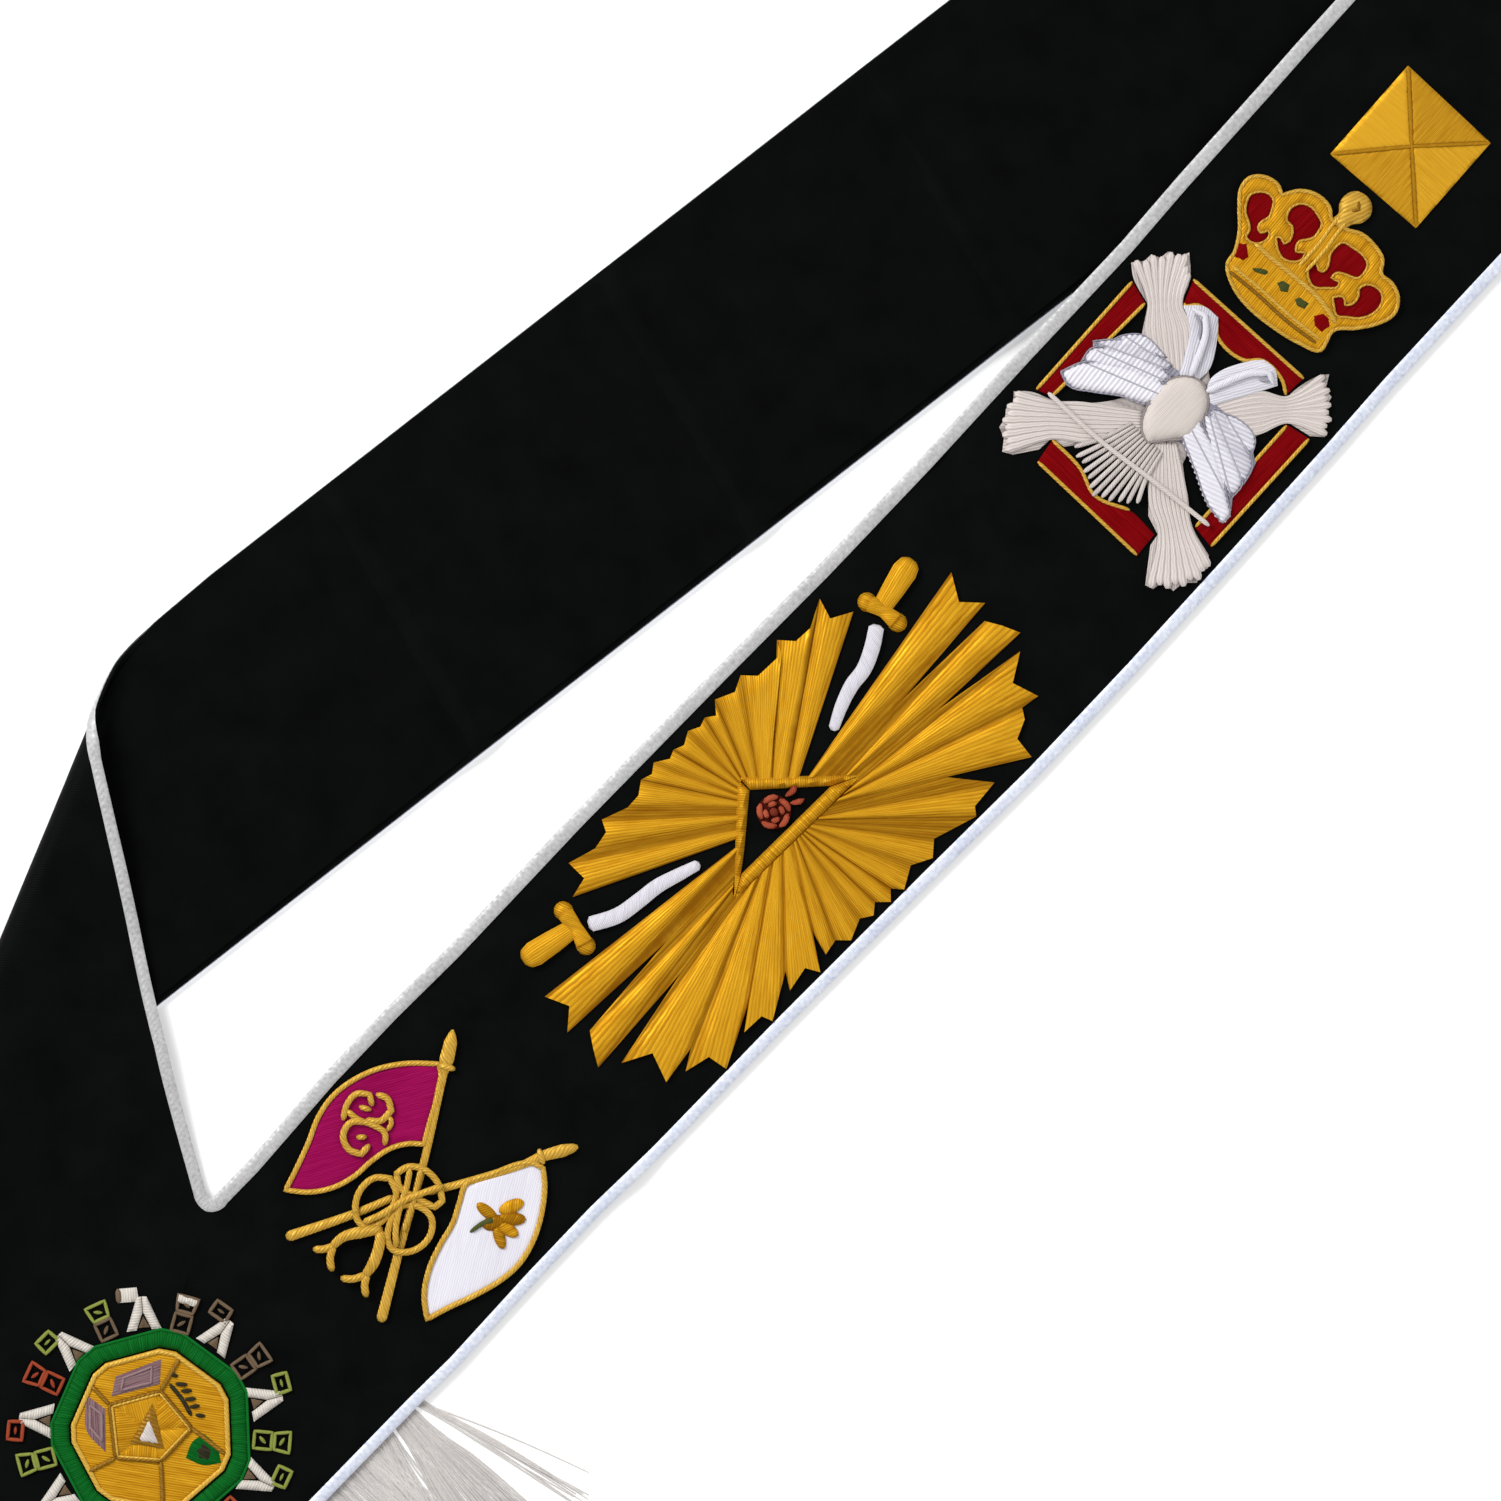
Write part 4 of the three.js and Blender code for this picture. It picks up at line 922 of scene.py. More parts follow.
def comb_fringe(name, width, down, place, seed):
    chance = random.Random(seed)
    shares = list(FIRST_LOCKS)
    shares += [chance.uniform(0.55, 1.55) for lock in range(FRINGE_LOCKS - len(shares))]
    widths = np.array(shares) * (down - 2) / sum(shares)
    starts = 3 - np.concatenate([[0], np.cumsum(widths)])
    points, faces, tones, uv = [], [], [], []
    t = np.linspace(0, 1, STRAND_STEPS)
    for lock, pitch in enumerate(widths):
        part = lock / (FRINGE_LOCKS - 1)
        lean = FIRST_LEANS[lock] if lock < len(FIRST_LEANS) else chance.gauss(1, 2.2)
        lock_lean = lean + 50 * float(smooth((part - 0.7) / 0.3))**1.5
        lock_sway = chance.uniform(-2.5, 2.5) if lock > 1 else 0.0
        lock_tone = chance.uniform(-0.10, 0.10)
        splay = FIRST_SPLAYS[lock] if lock < len(FIRST_SPLAYS) else chance.uniform(1, 6)
        count = round(STRANDS_PER_MM * pitch * (1 + splay / 16))
        filled = LOOSELY_FILLED if lock in LOOSE_LOCKS else FILLED
        for strand in range(count):
            across = (strand + chance.uniform(-0.4, 0.4)) / count - 0.5
            root = starts[lock] - pitch / 2 - across * pitch * filled
            angle = math.radians(lock_lean + across * splay + chance.gauss(0, 1.3))
            if chance.random() < STRAY_CHANCE:
                angle += math.radians(chance.uniform(-7, 7))
            long = FRINGE_LONG + 2.4 + chance.uniform(-4.5, 0)
            reach = long * t
            sway = lock_sway * t**2 * 1.6 + chance.uniform(-1.2, 1.2) * np.sin(3 * t)
            x = width - HEAD_IN + (reach + HEAD_LAP) * math.cos(angle)
            y = root - reach * math.sin(angle) + sway
            gather = np.exp(-((reach - 12) / 8.0)**2) * across * pitch * 0.22
            y = y + gather
            layer = chance.uniform(0, 1)
            h = -0.75 + 0.62 * layer + 0.25 * np.sin(t * 5 + layer * 6) * t
            thick = STRAND_THICK * (1 - 0.35 * t**4)
            start = len(points)
            # Each strand's tone is random, with painted shade on strands that lie lower in the
            # mass.
            tone = 0.66 + lock_tone + chance.gauss(0, 0.10) - 0.14 * (1 - layer)
            side = np.array([(-1, 0), (0, 1), (1, 0), (0, -1)])
            for k in range(STRAND_STEPS):
                for dy, dz in side:
                    points.append((x[k] + dy * thick[k] * math.sin(angle),
                                   y[k] + dy * thick[k] * math.cos(angle),
                                   h[k] + dz * thick[k]))
                    # Painted shade darkens each strand near its root.
                    tones.append(tone - 0.16 * math.exp(-reach[k] / 7))
                    uv.append((dy * 0.4 + dz * 0.2, reach[k] + strand * 0.37))
            for k in range(STRAND_STEPS - 1):
                for j in range(4):
                    a, b = start + k * 4 + j, start + k * 4 + (j + 1) % 4
                    faces.append((a, b, b + 4, a + 4))
            faces.append((start + 3, start + 2, start + 1, start))
            end = start + (STRAND_STEPS - 1) * 4
            faces.append((end, end + 1, end + 2, end + 3))
    points = np.array(points)
    placed = place(points[:, 0], points[:, 1], np.maximum(points[:, 2], FRINGE_FLOOR))
    piece = mesh_piece(name, placed, faces)
    thread_map(piece, np.array(uv), np.array(tones))
    return piece


def thread_map(piece, uv, tone):
    """Stores the thread UV map and the tone of each vertex, which holds painted light and shade
    and some random tone.
    """
    layer = piece.data.uv_layers.new(name="thread")
    loops = np.zeros(len(piece.data.loops), int)
    piece.data.loops.foreach_get("vertex_index", loops)
    layer.data.foreach_set("uv", uv[loops].ravel())
    held = piece.data.attributes.new("tone", "FLOAT", "POINT")
    held.data.foreach_set("value", np.asarray(tone, float))


def face_outwards(piece):
    """Turns every closed shell's faces outwards."""
    only(piece)
    bpy.ops.object.mode_set(mode="EDIT")
    bpy.ops.mesh.select_all(action="SELECT")
    bpy.ops.mesh.normals_make_consistent(inside=False)
    bpy.ops.object.mode_set(mode="OBJECT")


fringes = {
    "front": comb_fringe("front_fringe_strands", TIP_ACROSS, TIP_DOWN, point_place, 5),
    "back": comb_fringe("back_fringe_strands", BACK_WIDTH, BACK_DOWN, back_edge_place, 11),
}
for piece in fringes.values():
    face_outwards(piece)
    smooth_faces(piece, 80)
    print(piece.name, triangles(piece), "triangles")

# %% [markdown]
# ## Thread finishes
# Every embroidered part is satin stitch: threads laid side by side over a padding.
# The finish follows the part's own thread map, U across the threads and V along
# them. Threads differ a little in tone, and the gaps between them are darkened as
# painted shade. The tone stored on each patch's vertices is painted light and
# shade, as threads that run another way catch the light differently: it lightens
# or darkens patches and cords as if lit or shaded, with a little random tone.

# %% One recipe for every coloured thread


def thread_finish(name, dark, middle, light, pitch=0.8, relief=0.35, metal=0.0,
                  rough=(0.38, 0.6), gloss=0.4, wander=0.8):
    material, tree, shader, uv = finish_of(name, "thread")
    lines = new_node(tree, "ShaderNodeGroup", (-650, 0))
    lines.node_tree = thread_group
    lines.inputs["Pitch"].default_value = pitch
    lines.inputs["Wander"].default_value = wander
    tree.links.new(uv, lines.inputs["Vector"])
    streak = ranged(tree, lines.outputs["Streak"], 0.32, 0.68, 0, 1, (-400, 200))
    body = mix_colours(tree, streak, middle, light, (-150, 200))
    # Painted shade: the gaps between threads are mixed toward the dark colour.
    ridge = ranged(tree, lines.outputs["Ridge"], 0.0, 0.55, 0.0, 1, (-400, -50))
    gap = ranged(tree, ridge, 0, 1, 0.55, 1, (-250, -50))
    threads = mix_colours(tree, gap, dark, body, (0, 150))
    # The tone attribute is painted light and shade: under 0.5 it mixes toward the dark colour as
    # painted shade, over 0.5 toward the light colour as painted light.
    tone = new_node(tree, "ShaderNodeAttribute", (-400, -300), attribute_name="tone")
    lower = ranged(tree, tone.outputs["Fac"], 0.0, 0.5, 1, 0, (-150, -200))
    upper = ranged(tree, tone.outputs["Fac"], 0.5, 1.0, 0, 0.6, (-150, -400))
    painted_shade_mix = mix_colours(tree, lower, threads, dark, (150, 100))
    lit = mix_colours(tree, upper, painted_shade_mix, light, (300, 100))
    tree.links.new(lit, shader.inputs["Base Color"])
    tree.links.new(ranged(tree, lines.outputs["Streak"], 0.3, 0.7, rough[1], rough[0],
                          (150, -150)), shader.inputs["Roughness"])
    tree.links.new(bump(tree, lines.outputs["Ridge"], relief, 0.25), shader.inputs["Normal"])
    shader.inputs["Metallic"].default_value = metal
    shader.inputs["Specular IOR Level"].default_value = gloss
    shader.inputs["Specular Tint"].default_value = (*light, 1)
    return material


gold = thread_finish("gold_thread", (0.16, 0.050, 0.002), (0.50, 0.215, 0.006),
                     (0.82, 0.43, 0.022), metal=0.3, gloss=0.3, wander=0.25)
gold_cord = thread_finish("gold_cord", (0.16, 0.060, 0.004), (0.50, 0.255, 0.022),
                          (0.80, 0.50, 0.085), pitch=1.3, relief=0.5, metal=0.3, gloss=0.3)
white = thread_finish("white_thread", (0.26, 0.25, 0.29), (0.62, 0.60, 0.66),
                      (0.88, 0.86, 0.93), relief=0.45, pitch=0.9)
feather = thread_finish("feather_thread", (0.22, 0.21, 0.27), (0.66, 0.64, 0.73),
                        (0.93, 0.91, 0.97), relief=0.9, pitch=1.5, wander=0.5)
silver = thread_finish("silver_thread", (0.20, 0.17, 0.165), (0.56, 0.50, 0.475),
                       (0.78, 0.70, 0.66), pitch=0.9, relief=0.5)
crimson = thread_finish("crimson_thread", (0.05, 0.001, 0.001), (0.165, 0.0015, 0.003),
                        (0.26, 0.004, 0.006), relief=0.2, gloss=0.10)
magenta = thread_finish("magenta_satin", (0.11, 0.001, 0.025), (0.27, 0.003, 0.068),
                        (0.37, 0.008, 0.105), relief=0.12, gloss=0.12)
ivory = thread_finish("ivory_satin", (0.55, 0.53, 0.62), (0.78, 0.76, 0.85),
                      (0.88, 0.87, 0.93), relief=0.1, gloss=0.3)
green = thread_finish("green_thread", (0.001, 0.020, 0.002), (0.003, 0.085, 0.010),
                      (0.008, 0.17, 0.025), relief=0.3, gloss=0.12)
rose_red = thread_finish("rose_thread", (0.06, 0.006, 0.004), (0.33, 0.045, 0.020),
                         (0.56, 0.13, 0.065), pitch=0.7, relief=0.6, gloss=0.15)
strands = thread_finish("fringe_strand", (0.34, 0.32, 0.325), (0.66, 0.63, 0.605),
                        (0.86, 0.83, 0.80), pitch=0.5, relief=0.3)
for side, piece in fringes.items():
    piece.data.materials.append(strands)
    settle(piece, piece.name, f"{side}_fringe")

# %% [markdown]
# ## Padded embroidery
# The emblems are worked the way a gold-work embroiderer does it: a padded shape
# covered in satin stitch, cords couched along its edges, and fans of straight
# threads. Three small makers are enough for all of them. Each adds a closed shell
# to a bundle, and a bundle becomes one object that takes the place of one solid.
# The shapes are named corners in band millimetres, read off the photograph.

# %% Lines and distances in plan
SIT = HALF_STACK + 0.4


def band_place(x, y, h):
    """A place on the front band."""
    inner, outer = column(FRONT_EDGES, y, 1), column(FRONT_EDGES, y, 2)
    return on_strap(FRONT, (x - inner) / (outer - inner), y, h)


def flowing(corners, spacing=1.1, sharp=42, closed=True):
    """A smooth line through the corners. Turns above the sharp angle stay corners."""
    p = np.array([c[:2] for c in corners], float)
    come, leave = p - np.roll(p, 1, 0), np.roll(p, -1, 0) - p
    if not closed:
        come[0], leave[-1] = leave[0], come[-1]
    come /= np.linalg.norm(come, axis=1)[:, None]
    leave /= np.linalg.norm(leave, axis=1)[:, None]
    tangent = (come + leave) / (np.linalg.norm(come + leave, axis=1)[:, None] + 1e-9)
    rounded = (come * leave).sum(1) > math.cos(math.radians(sharp))
    line = []
    for i in range(len(p) if closed else len(p) - 1):
        j = (i + 1) % len(p)
        gap = np.linalg.norm(p[j] - p[i])
        start = (tangent[i] if rounded[i] else (p[j] - p[i]) / gap) * gap
        stop = (tangent[j] if rounded[j] else (p[j] - p[i]) / gap) * gap
        count = max(1, round(gap / spacing))
        t = np.arange(count)[:, None] / count
        line.append((2 * t**3 - 3 * t**2 + 1) * p[i] + (t**3 - 2 * t**2 + t) * start
                    + (3 * t**2 - 2 * t**3) * p[j] + (t**3 - t**2) * stop)
    if not closed:
        line.append(p[-1:])
    return np.vstack(line)


def oval(x, y, rx, ry, count=14, turn=0.0):
    t = np.arange(count) / count * math.tau
    a, b = rx * np.cos(t), ry * np.sin(t)
    c, s = math.cos(math.radians(turn)), math.sin(math.radians(turn))
    return np.stack([x + a * c - b * s, y + a * s + b * c], axis=1)


def inside(points, loop):
    a, b = loop, np.roll(loop, -1, 0)
    x, y = points[:, :1], points[:, 1:]
    rise = b[:, 1] - a[:, 1]
    rise = np.where(rise == 0, 1e-9, rise)
    meets = a[:, 0] + (y - a[:, 1]) / rise * (b[:, 0] - a[:, 0])
    crossing = ((a[:, 1] > y) != (b[:, 1] > y)) & (x < meets)
    return crossing.sum(1) % 2 == 1


def edge_distance(points, loops):
    nearest = np.full(len(points), 1e9)
    for loop in loops:
        a, b = loop, np.roll(loop, -1, 0)
        way = b - a
        t = ((points[:, None] - a) * way).sum(2) / ((way**2).sum(1) + 1e-12)
        foot = a + np.clip(t, 0, 1)[..., None] * way
        away = np.linalg.norm(points[:, None] - foot, axis=2).min(1)
        nearest = np.minimum(nearest, away)
    return nearest


# %% The bundle, and satin stitch over padding


class Bundle:
    """Closed shells that become one embroidered piece."""

    def __init__(self, place=band_place):
        self.place = place
        self.points, self.faces, self.uv, self.tones, self.looks = [], [], [], [], []
        self.count = 0

    def add(self, points, faces, uv, tones, look):
        self.points.append(self.place(points[:, 0], points[:, 1], points[:, 2]))
        self.faces += [tuple(int(v) + self.count for v in face) for face in faces]
        self.uv.append(uv)
        self.tones.append(np.clip(np.broadcast_to(tones, len(points)), 0, 1))
        self.looks += [look] * len(faces)
        self.count += len(points)

    def sew(self, name, slot, *replaced):
        piece = mesh_piece(name, np.vstack(self.points), self.faces)
        used = sorted(set(self.looks), key=lambda look: look.name)
        for look in used:
            piece.data.materials.append(look)
        numbers = [used.index(look) for look in self.looks]
        piece.data.polygons.foreach_set("material_index", numbers)
        thread_map(piece, np.vstack(self.uv), np.concatenate(self.tones))
        face_outwards(piece)
        smooth_faces(piece, 48)
        settle(piece, name, *replaced)
        print(name, triangles(piece), "triangles")
        return piece


def thread_uv(x, y, turn):
    """Threads at this angle in band axes: U across them, V along them."""
    if callable(turn):
        return turn(x, y)
    c, s = math.cos(math.radians(turn)), math.sin(math.radians(turn))
    return np.stack([y * c - x * s + 0.37 * turn, x * c + y * s], axis=1)


def threads_from(centre, spread):
    """Threads that run out from a centre, for satin's turn."""

    def laid(x, y):
        turn = np.arctan2(y - centre[1], x - centre[0])
        return np.stack([turn * spread, np.hypot(x - centre[0], y - centre[1])], axis=1)

    return laid


def drawn_in(corners, share):
    """The corners, drawn in towards their middle."""
    middle = np.mean(corners, axis=0)
    return [middle + (np.array(p) - middle) * share for p in corners]


def satin(bundle, corners, low, high, look, turn=90.0, tone=0.5, rim=0.3, soft=2.2,
          step=1.4, holes=(), relief=None, shade=0.5, sharp=42, edge=0.0):
    """A padded shape: flat below, domed above, with an optional relief(x, y)."""
    loops = [flowing(c, 1.1, sharp) for c in (corners, *holes)]
    low_corner, high_corner = loops[0].min(0), loops[0].max(0)
    gx, gy = np.meshgrid(np.arange(low_corner[0], high_corner[0], step),
                         np.arange(low_corner[1], high_corner[1], step * 0.87))
    gx = gx + (np.arange(gx.shape[0]) % 2)[:, None] * step / 2
    grid = np.stack([gx.ravel(), gy.ravel()], axis=1)
    grid = grid[inside(grid, loops[0]) & (edge_distance(grid, loops) > 0.5 * step)]
    for hole in loops[1:]:
        grid = grid[~inside(grid, hole)]
    everything = np.vstack(loops + [grid])
    edges, first = [], 0
    for loop in loops:
        count = len(loop)
        edges += [(first + i, first + (i + 1) % count) for i in range(count)]
        first += count
    laid = delaunay_2d_cdt([Vector(p) for p in everything], edges, [], 0, 1e-5)
    flat = np.array([tuple(v) for v in laid[0]])
    faces = np.array(laid[2])
    middle = flat[faces].mean(1)
    kept = inside(middle, loops[0])
    for hole in loops[1:]:
        kept &= ~inside(middle, hole)
    faces = faces[kept]
    away = np.clip(edge_distance(flat, loops) / soft, 0, 1)
    dome = np.sqrt(1 - (1 - away)**2)
    h = low + rim + (high - low - rim) * dome
    # The tone given to the whole patch is painted light and shade.
    tones = np.full(len(flat), float(tone))
    if relief is not None:
        bumps = relief(flat[:, 0], flat[:, 1])
        h = h + bumps * (dome * (1 - edge) + edge)
        # Painted light and shade: where the relief rises the tone is lightened and where it dips
        # it is darkened, by the share shade.
        tones = tones + bumps * shade
    used = {(int(f[k]), int(f[(k + 1) % 3])) for f in faces for k in range(3)}
    n = len(flat)
    walls = [(b, a, a + n, b + n) for a, b in sorted(used) if (b, a) not in used]
    shell = [tuple(f) for f in faces] + [tuple(f[::-1] + n) for f in faces] + walls
    points = np.vstack([np.column_stack([flat, h]), np.column_stack([flat, np.full(n, low)])])
    uv = thread_uv(flat[:, 0], flat[:, 1], turn)
    bundle.add(points, shell, np.vstack([uv, uv]), np.concatenate([tones, tones]), look)


# %% Couched cords and fans of thread


def cord(bundle, corners, width, low, look, tone=0.5, closed=False, flat=0.8, sides=8,
         spacing=1.0, sharp=60, twist=0.8, blunt=0.45):
    """A round cord along a line, one width or a width for each corner."""
    line = flowing(corners, spacing, sharp, closed)
    count = len(line)
    given = np.atleast_1d(np.asarray(width, float))
    gone = np.linspace(0, 1, count)
    if len(given) > 1:
        corner_line = np.array([c[:2] for c in corners], float)
        at = [np.linalg.norm(line - c, axis=1).argmin() / (count - 1) for c in corner_line]
        radius = np.interp(gone, at, given) / 2
    else:
        radius = np.full(count, given[0] / 2)
    levels = np.atleast_1d(np.asarray(low, float))
    low = np.interp(gone, np.linspace(0, 1, len(levels)), levels)[:, None]
    ahead = np.roll(line, -1, 0) - np.roll(line, 1, 0)
    if not closed:
        ahead[0], ahead[-1] = line[1] - line[0], line[-1] - line[-2]
        radius = radius * np.clip(np.minimum(gone, 1 - gone) * count * blunt + 0.45, 0, 1)
    ahead /= np.linalg.norm(ahead, axis=1)[:, None] + 1e-9
    side = np.stack([-ahead[:, 1], ahead[:, 0]], axis=1)
    run = np.concatenate([[0], np.cumsum(np.linalg.norm(np.diff(line, axis=0), axis=1))])
    angle = (np.arange(sides) + 0.5) / sides * math.tau
    out, up = np.cos(angle), np.sin(angle)
    plan = line[:, None] + side[:, None] * (radius[:, None] * out)[..., None]
    h = low + radius[:, None] * flat * (1 + up)
    points = np.concatenate([plan, h[..., None]], axis=2).reshape(-1, 3)
    faces = []
    for i in range(count if closed else count - 1):
        for j in range(sides):
            k, here, there = (j + 1) % sides, i * sides, (i + 1) % count * sides
            faces.append((here + j, here + k, there + k, there + j))
    if not closed:
        faces.append(tuple(range(sides))[::-1])
        faces.append(tuple((count - 1) * sides + j for j in range(sides)))
    round_way = np.broadcast_to(angle * radius.mean(), (count, sides))
    u = run[:, None] * twist + round_way
    uv = np.stack([u, run[:, None] - round_way * twist], axis=2).reshape(-1, 2)
    # Painted light: the cord's top is lightened and its underside darkened.
    tones = tone + 0.25 * np.broadcast_to(up, (count, sides)).ravel() - 0.1
    bundle.add(points, faces, uv, tones, look)


def along(corners, share_of_line):
    """Points at shares of a broken line's length."""
    p = np.array([c[:2] for c in corners], float)
    gone = np.concatenate([[0], np.cumsum(np.linalg.norm(np.diff(p, axis=0), axis=1))])
    at = np.asarray(share_of_line) * gone[-1]
    return np.stack([np.interp(at, gone, p[:, 0]), np.interp(at, gone, p[:, 1])], axis=1)


def fan(bundle, root, tips, low, valley, ridge, look, steps=12, parts=4, dark=0.16, lit=0.74):
    """Pleated rays from a root line to a notched line. Tips marked 1 are ridges."""
    root, tips = np.asarray(root, float), np.asarray(tips, float)
    gaps = np.linalg.norm(np.diff(tips[:, :2], axis=0), axis=1)
    gone = np.concatenate([[0], np.cumsum(gaps)]) / gaps.sum()
    t = np.unique(np.concatenate([
        gone[i] + (gone[i + 1] - gone[i]) * np.arange(parts + 1) / parts
        for i in range(len(tips) - 1)]).round(9))
    outer = np.stack([np.interp(t, gone, tips[:, 0]), np.interp(t, gone, tips[:, 1])], axis=1)
    crest = np.interp(t, gone, tips[:, 2])
    crest = np.clip(crest + 0.07 * np.sin(np.arange(len(t)) * 2.7), 0, 1)
    inner = along(root, t)
    centre = root.mean(0)
    turn = np.unwrap(np.arctan2(*(outer - centre).T[::-1]))
    w = np.linspace(0, 1, steps + 1)
    plan = inner[:, None] * (1 - w[:, None]) + outer[:, None] * w[:, None]
    lift = valley + (ridge - valley) * np.sin(crest * math.pi / 2)[:, None]
    lift = lift * (1 - 0.35 * (1 - w))
    lift = np.where(w > 0.985, lift * 0.6, lift)
    top = np.concatenate([plan, (low + lift)[..., None]], axis=2)
    bottom = np.concatenate([plan, np.full((*lift.shape, 1), low)], axis=2)
    rows, wide = lift.shape
    n = rows * wide
    faces = []
    for i in range(rows - 1):
        for j in range(wide - 1):
            a = i * wide + j
            faces.append((a, a + 1, a + wide + 1, a + wide))
            faces.append((a + n, a + wide + n, a + wide + 1 + n, a + 1 + n))
    rim_line = [i * wide for i in range(rows)]
    rim_line += [(rows - 1) * wide + j for j in range(1, wide)]
    rim_line += [i * wide + wide - 1 for i in range(rows - 2, -1, -1)]
    rim_line += list(range(wide - 2, 0, -1))
    for a, b in zip(rim_line, rim_line[1:] + rim_line[:1]):
        faces.append((a, b, b + n, a + n))
    away = np.linalg.norm(plan - centre, axis=2)
    uv = np.stack([np.broadcast_to(turn[:, None] * 42, away.shape), away], axis=2)
    # Painted light and shade: the ridges get the lit tone and the valleys the dark one.
    tones = dark + (lit - dark) * np.broadcast_to(crest[:, None]**0.55, away.shape)
    uv = uv.reshape(-1, 2)
    bundle.add(np.vstack([top.reshape(-1, 3), bottom.reshape(-1, 3)]), faces,
               np.vstack([uv, uv]), np.concatenate([tones.ravel()] * 2), look)


# %% [markdown]
# ## Pyramid, crown and square
# The pyramid is four satin-stitched triangles whose threads run square to the base.
# The crown is a gold frame over crimson velvet, with cords round each opening and
# small jewels in the band. Four crimson bars with gold edges make the square.

# %% Pyramid
PYRAMID = ((22.5, 561), (61, 562), (63, 523.5), (24.5, 521))
APEX = (42.5, 542)
smooth_gold = thread_finish("smooth_gold_thread", (0.20, 0.070, 0.003),
                            (0.54, 0.245, 0.010), (0.84, 0.46, 0.030), pitch=0.5,
                            relief=0.08, metal=0.3, gloss=0.3, wander=0.15)
pyramid = Bundle()
for corner, (a, b) in enumerate(zip(PYRAMID, PYRAMID[1:] + PYRAMID[:1])):
    shrunk = drawn_in((a, b, APEX), 0.992)
    outwards = np.array([(a[0] + b[0]) / 2 - APEX[0], (a[1] + b[1]) / 2 - APEX[1]])
    outwards = outwards / np.linalg.norm(outwards)

    def slope(x, y, outwards=outwards):
        away = (x - APEX[0]) * outwards[0] + (y - APEX[1]) * outwards[1]
        return 1.9 * (1 - np.clip(away / 19.5, 0, 1))

    angle = math.degrees(math.atan2(outwards[1], outwards[0]))
    # Painted light and shade: each face gets its own tone, two opposite faces lighter and the
    # other two darker.
    satin(pyramid, shrunk, SIT, SIT + 0.9, smooth_gold, turn=angle, relief=slope, shade=0.0,
          tone=(0.42, 0.80, 0.46, 0.88)[corner], soft=0.8, edge=1.0, step=1.1)
# Darkened cords along the four edges paint shade in the grooves between the faces.
for corner in PYRAMID:
    groove = [np.array(corner) * (1 - w) + np.array(APEX) * w for w in (0.02, 0.5, 1.0)]
    cord(pyramid, groove, 1.2, (SIT + 0.9, SIT + 1.9, SIT + 2.5), smooth_gold, tone=0.16,
         flat=0.3)
pyramid.sew("pyramid_stitched", "gold_thread", "pyramid")

# %% Crown
CROWN = (
    (25.5, 470), (24.5, 474.5), (20.5, 481), (15, 486.5), (11, 491.5), (10.6, 496),
    (14, 499.8), (19, 501), (22.5, 499.5), (26, 505), (31.5, 508), (37, 507.8),
    (40.3, 505.5), (46.3, 506.5), (51, 509), (57, 509.3), (62, 508), (65.5, 504),
    (70, 504.3), (75, 502.3), (77.8, 497.5), (76.5, 492), (72, 485), (67, 479),
    (68.3, 473.5), (68.6, 471.2), (62, 468), (52, 465.6), (40, 464.6), (32, 466),
)
OPENINGS = (
    ((15.3, 489.8), (14.7, 492.2), (16.2, 495.0), (18.7, 496.7), (21.5, 496.5),
     (23.6, 493.7), (24.6, 491.2), (24.0, 488.8), (24.0, 487.0), (25.0, 485.6),
     (26.2, 485.5), (27.5, 487.8), (28.9, 487.1), (29.3, 484.5), (27.8, 481.8),
     (25.3, 480.6), (23.4, 481.1), (23.0, 483.1), (20.7, 485.1), (17.9, 486.5)),
    ((28.6, 495.6), (27.7, 498.9), (29.3, 502.2), (32.6, 503.7), (35.9, 503.3),
     (39.0, 502.2), (40.0, 499.7), (40.3, 497.0), (39.1, 494.6), (37.7, 492.6),
     (38.1, 490.7), (39.3, 489.2), (41.9, 491.3), (42.6, 488.5), (40.6, 485.7),
     (37.7, 484.4), (34.4, 485.3), (31.0, 487.9), (32.1, 489.0), (34.5, 488.3),
     (35.1, 490.1), (34.1, 492.7), (32.1, 494.4), (30.0, 494.4)),
    ((47.8, 499.0), (48.5, 502.6), (52.1, 503.7), (56.3, 504.3), (59.6, 503.3),
     (60.8, 500.9), (60.6, 497.4), (58.8, 496.3), (56.2, 495.2), (54.1, 493.5),
     (54.1, 491.3), (57.1, 492.2), (57.8, 490.6), (55.3, 487.6), (52.0, 484.9),
     (49.2, 485.4), (46.5, 487.6), (45.9, 490.0), (47.2, 491.2), (49.2, 490.2),
     (50.7, 491.1), (49.8, 494.4), (48.4, 496.3)),
    ((63.4, 495.1), (64.2, 498.0), (66.8, 499.6), (69.8, 499.6), (71.9, 498.0),
     (72.9, 494.9), (72.4, 491.4), (70.4, 488.0), (67.0, 485.3), (64.5, 483.4),
     (61.1, 485.2), (59.1, 486.8), (60.2, 488.7), (61.9, 489.5), (63.9, 488.0),
     (65.2, 489.6), (65.3, 492.3), (64.5, 493.9)),
)
CROWN_RIM = ((27.2, 481.4), (33, 481.6), (44, 482.6), (56, 483.2), (66, 481.4))
JEWELS = (
    ((23.2, 477.6), (25.4, 479.6), (29.2, 476.9), (28.9, 474.3), (25.6, 473.2)),
    ((31.7, 474.1), (34.3, 476.9), (38.2, 478.4), (37.6, 476.0), (34.9, 474.5)),
    ((41.7, 477.0), (42.8, 479.2), (45.8, 480.1), (47.4, 477.5), (45.1, 475.6)),
    ((49.9, 477.0), (50.9, 479.4), (55.0, 479.9), (55.3, 477.0), (52.3, 476.1)),
    ((58.4, 478.0), (60.4, 480.9), (63.3, 481.0), (65.4, 479.2), (64.8, 475.6),
     (61.2, 475.4)),
)
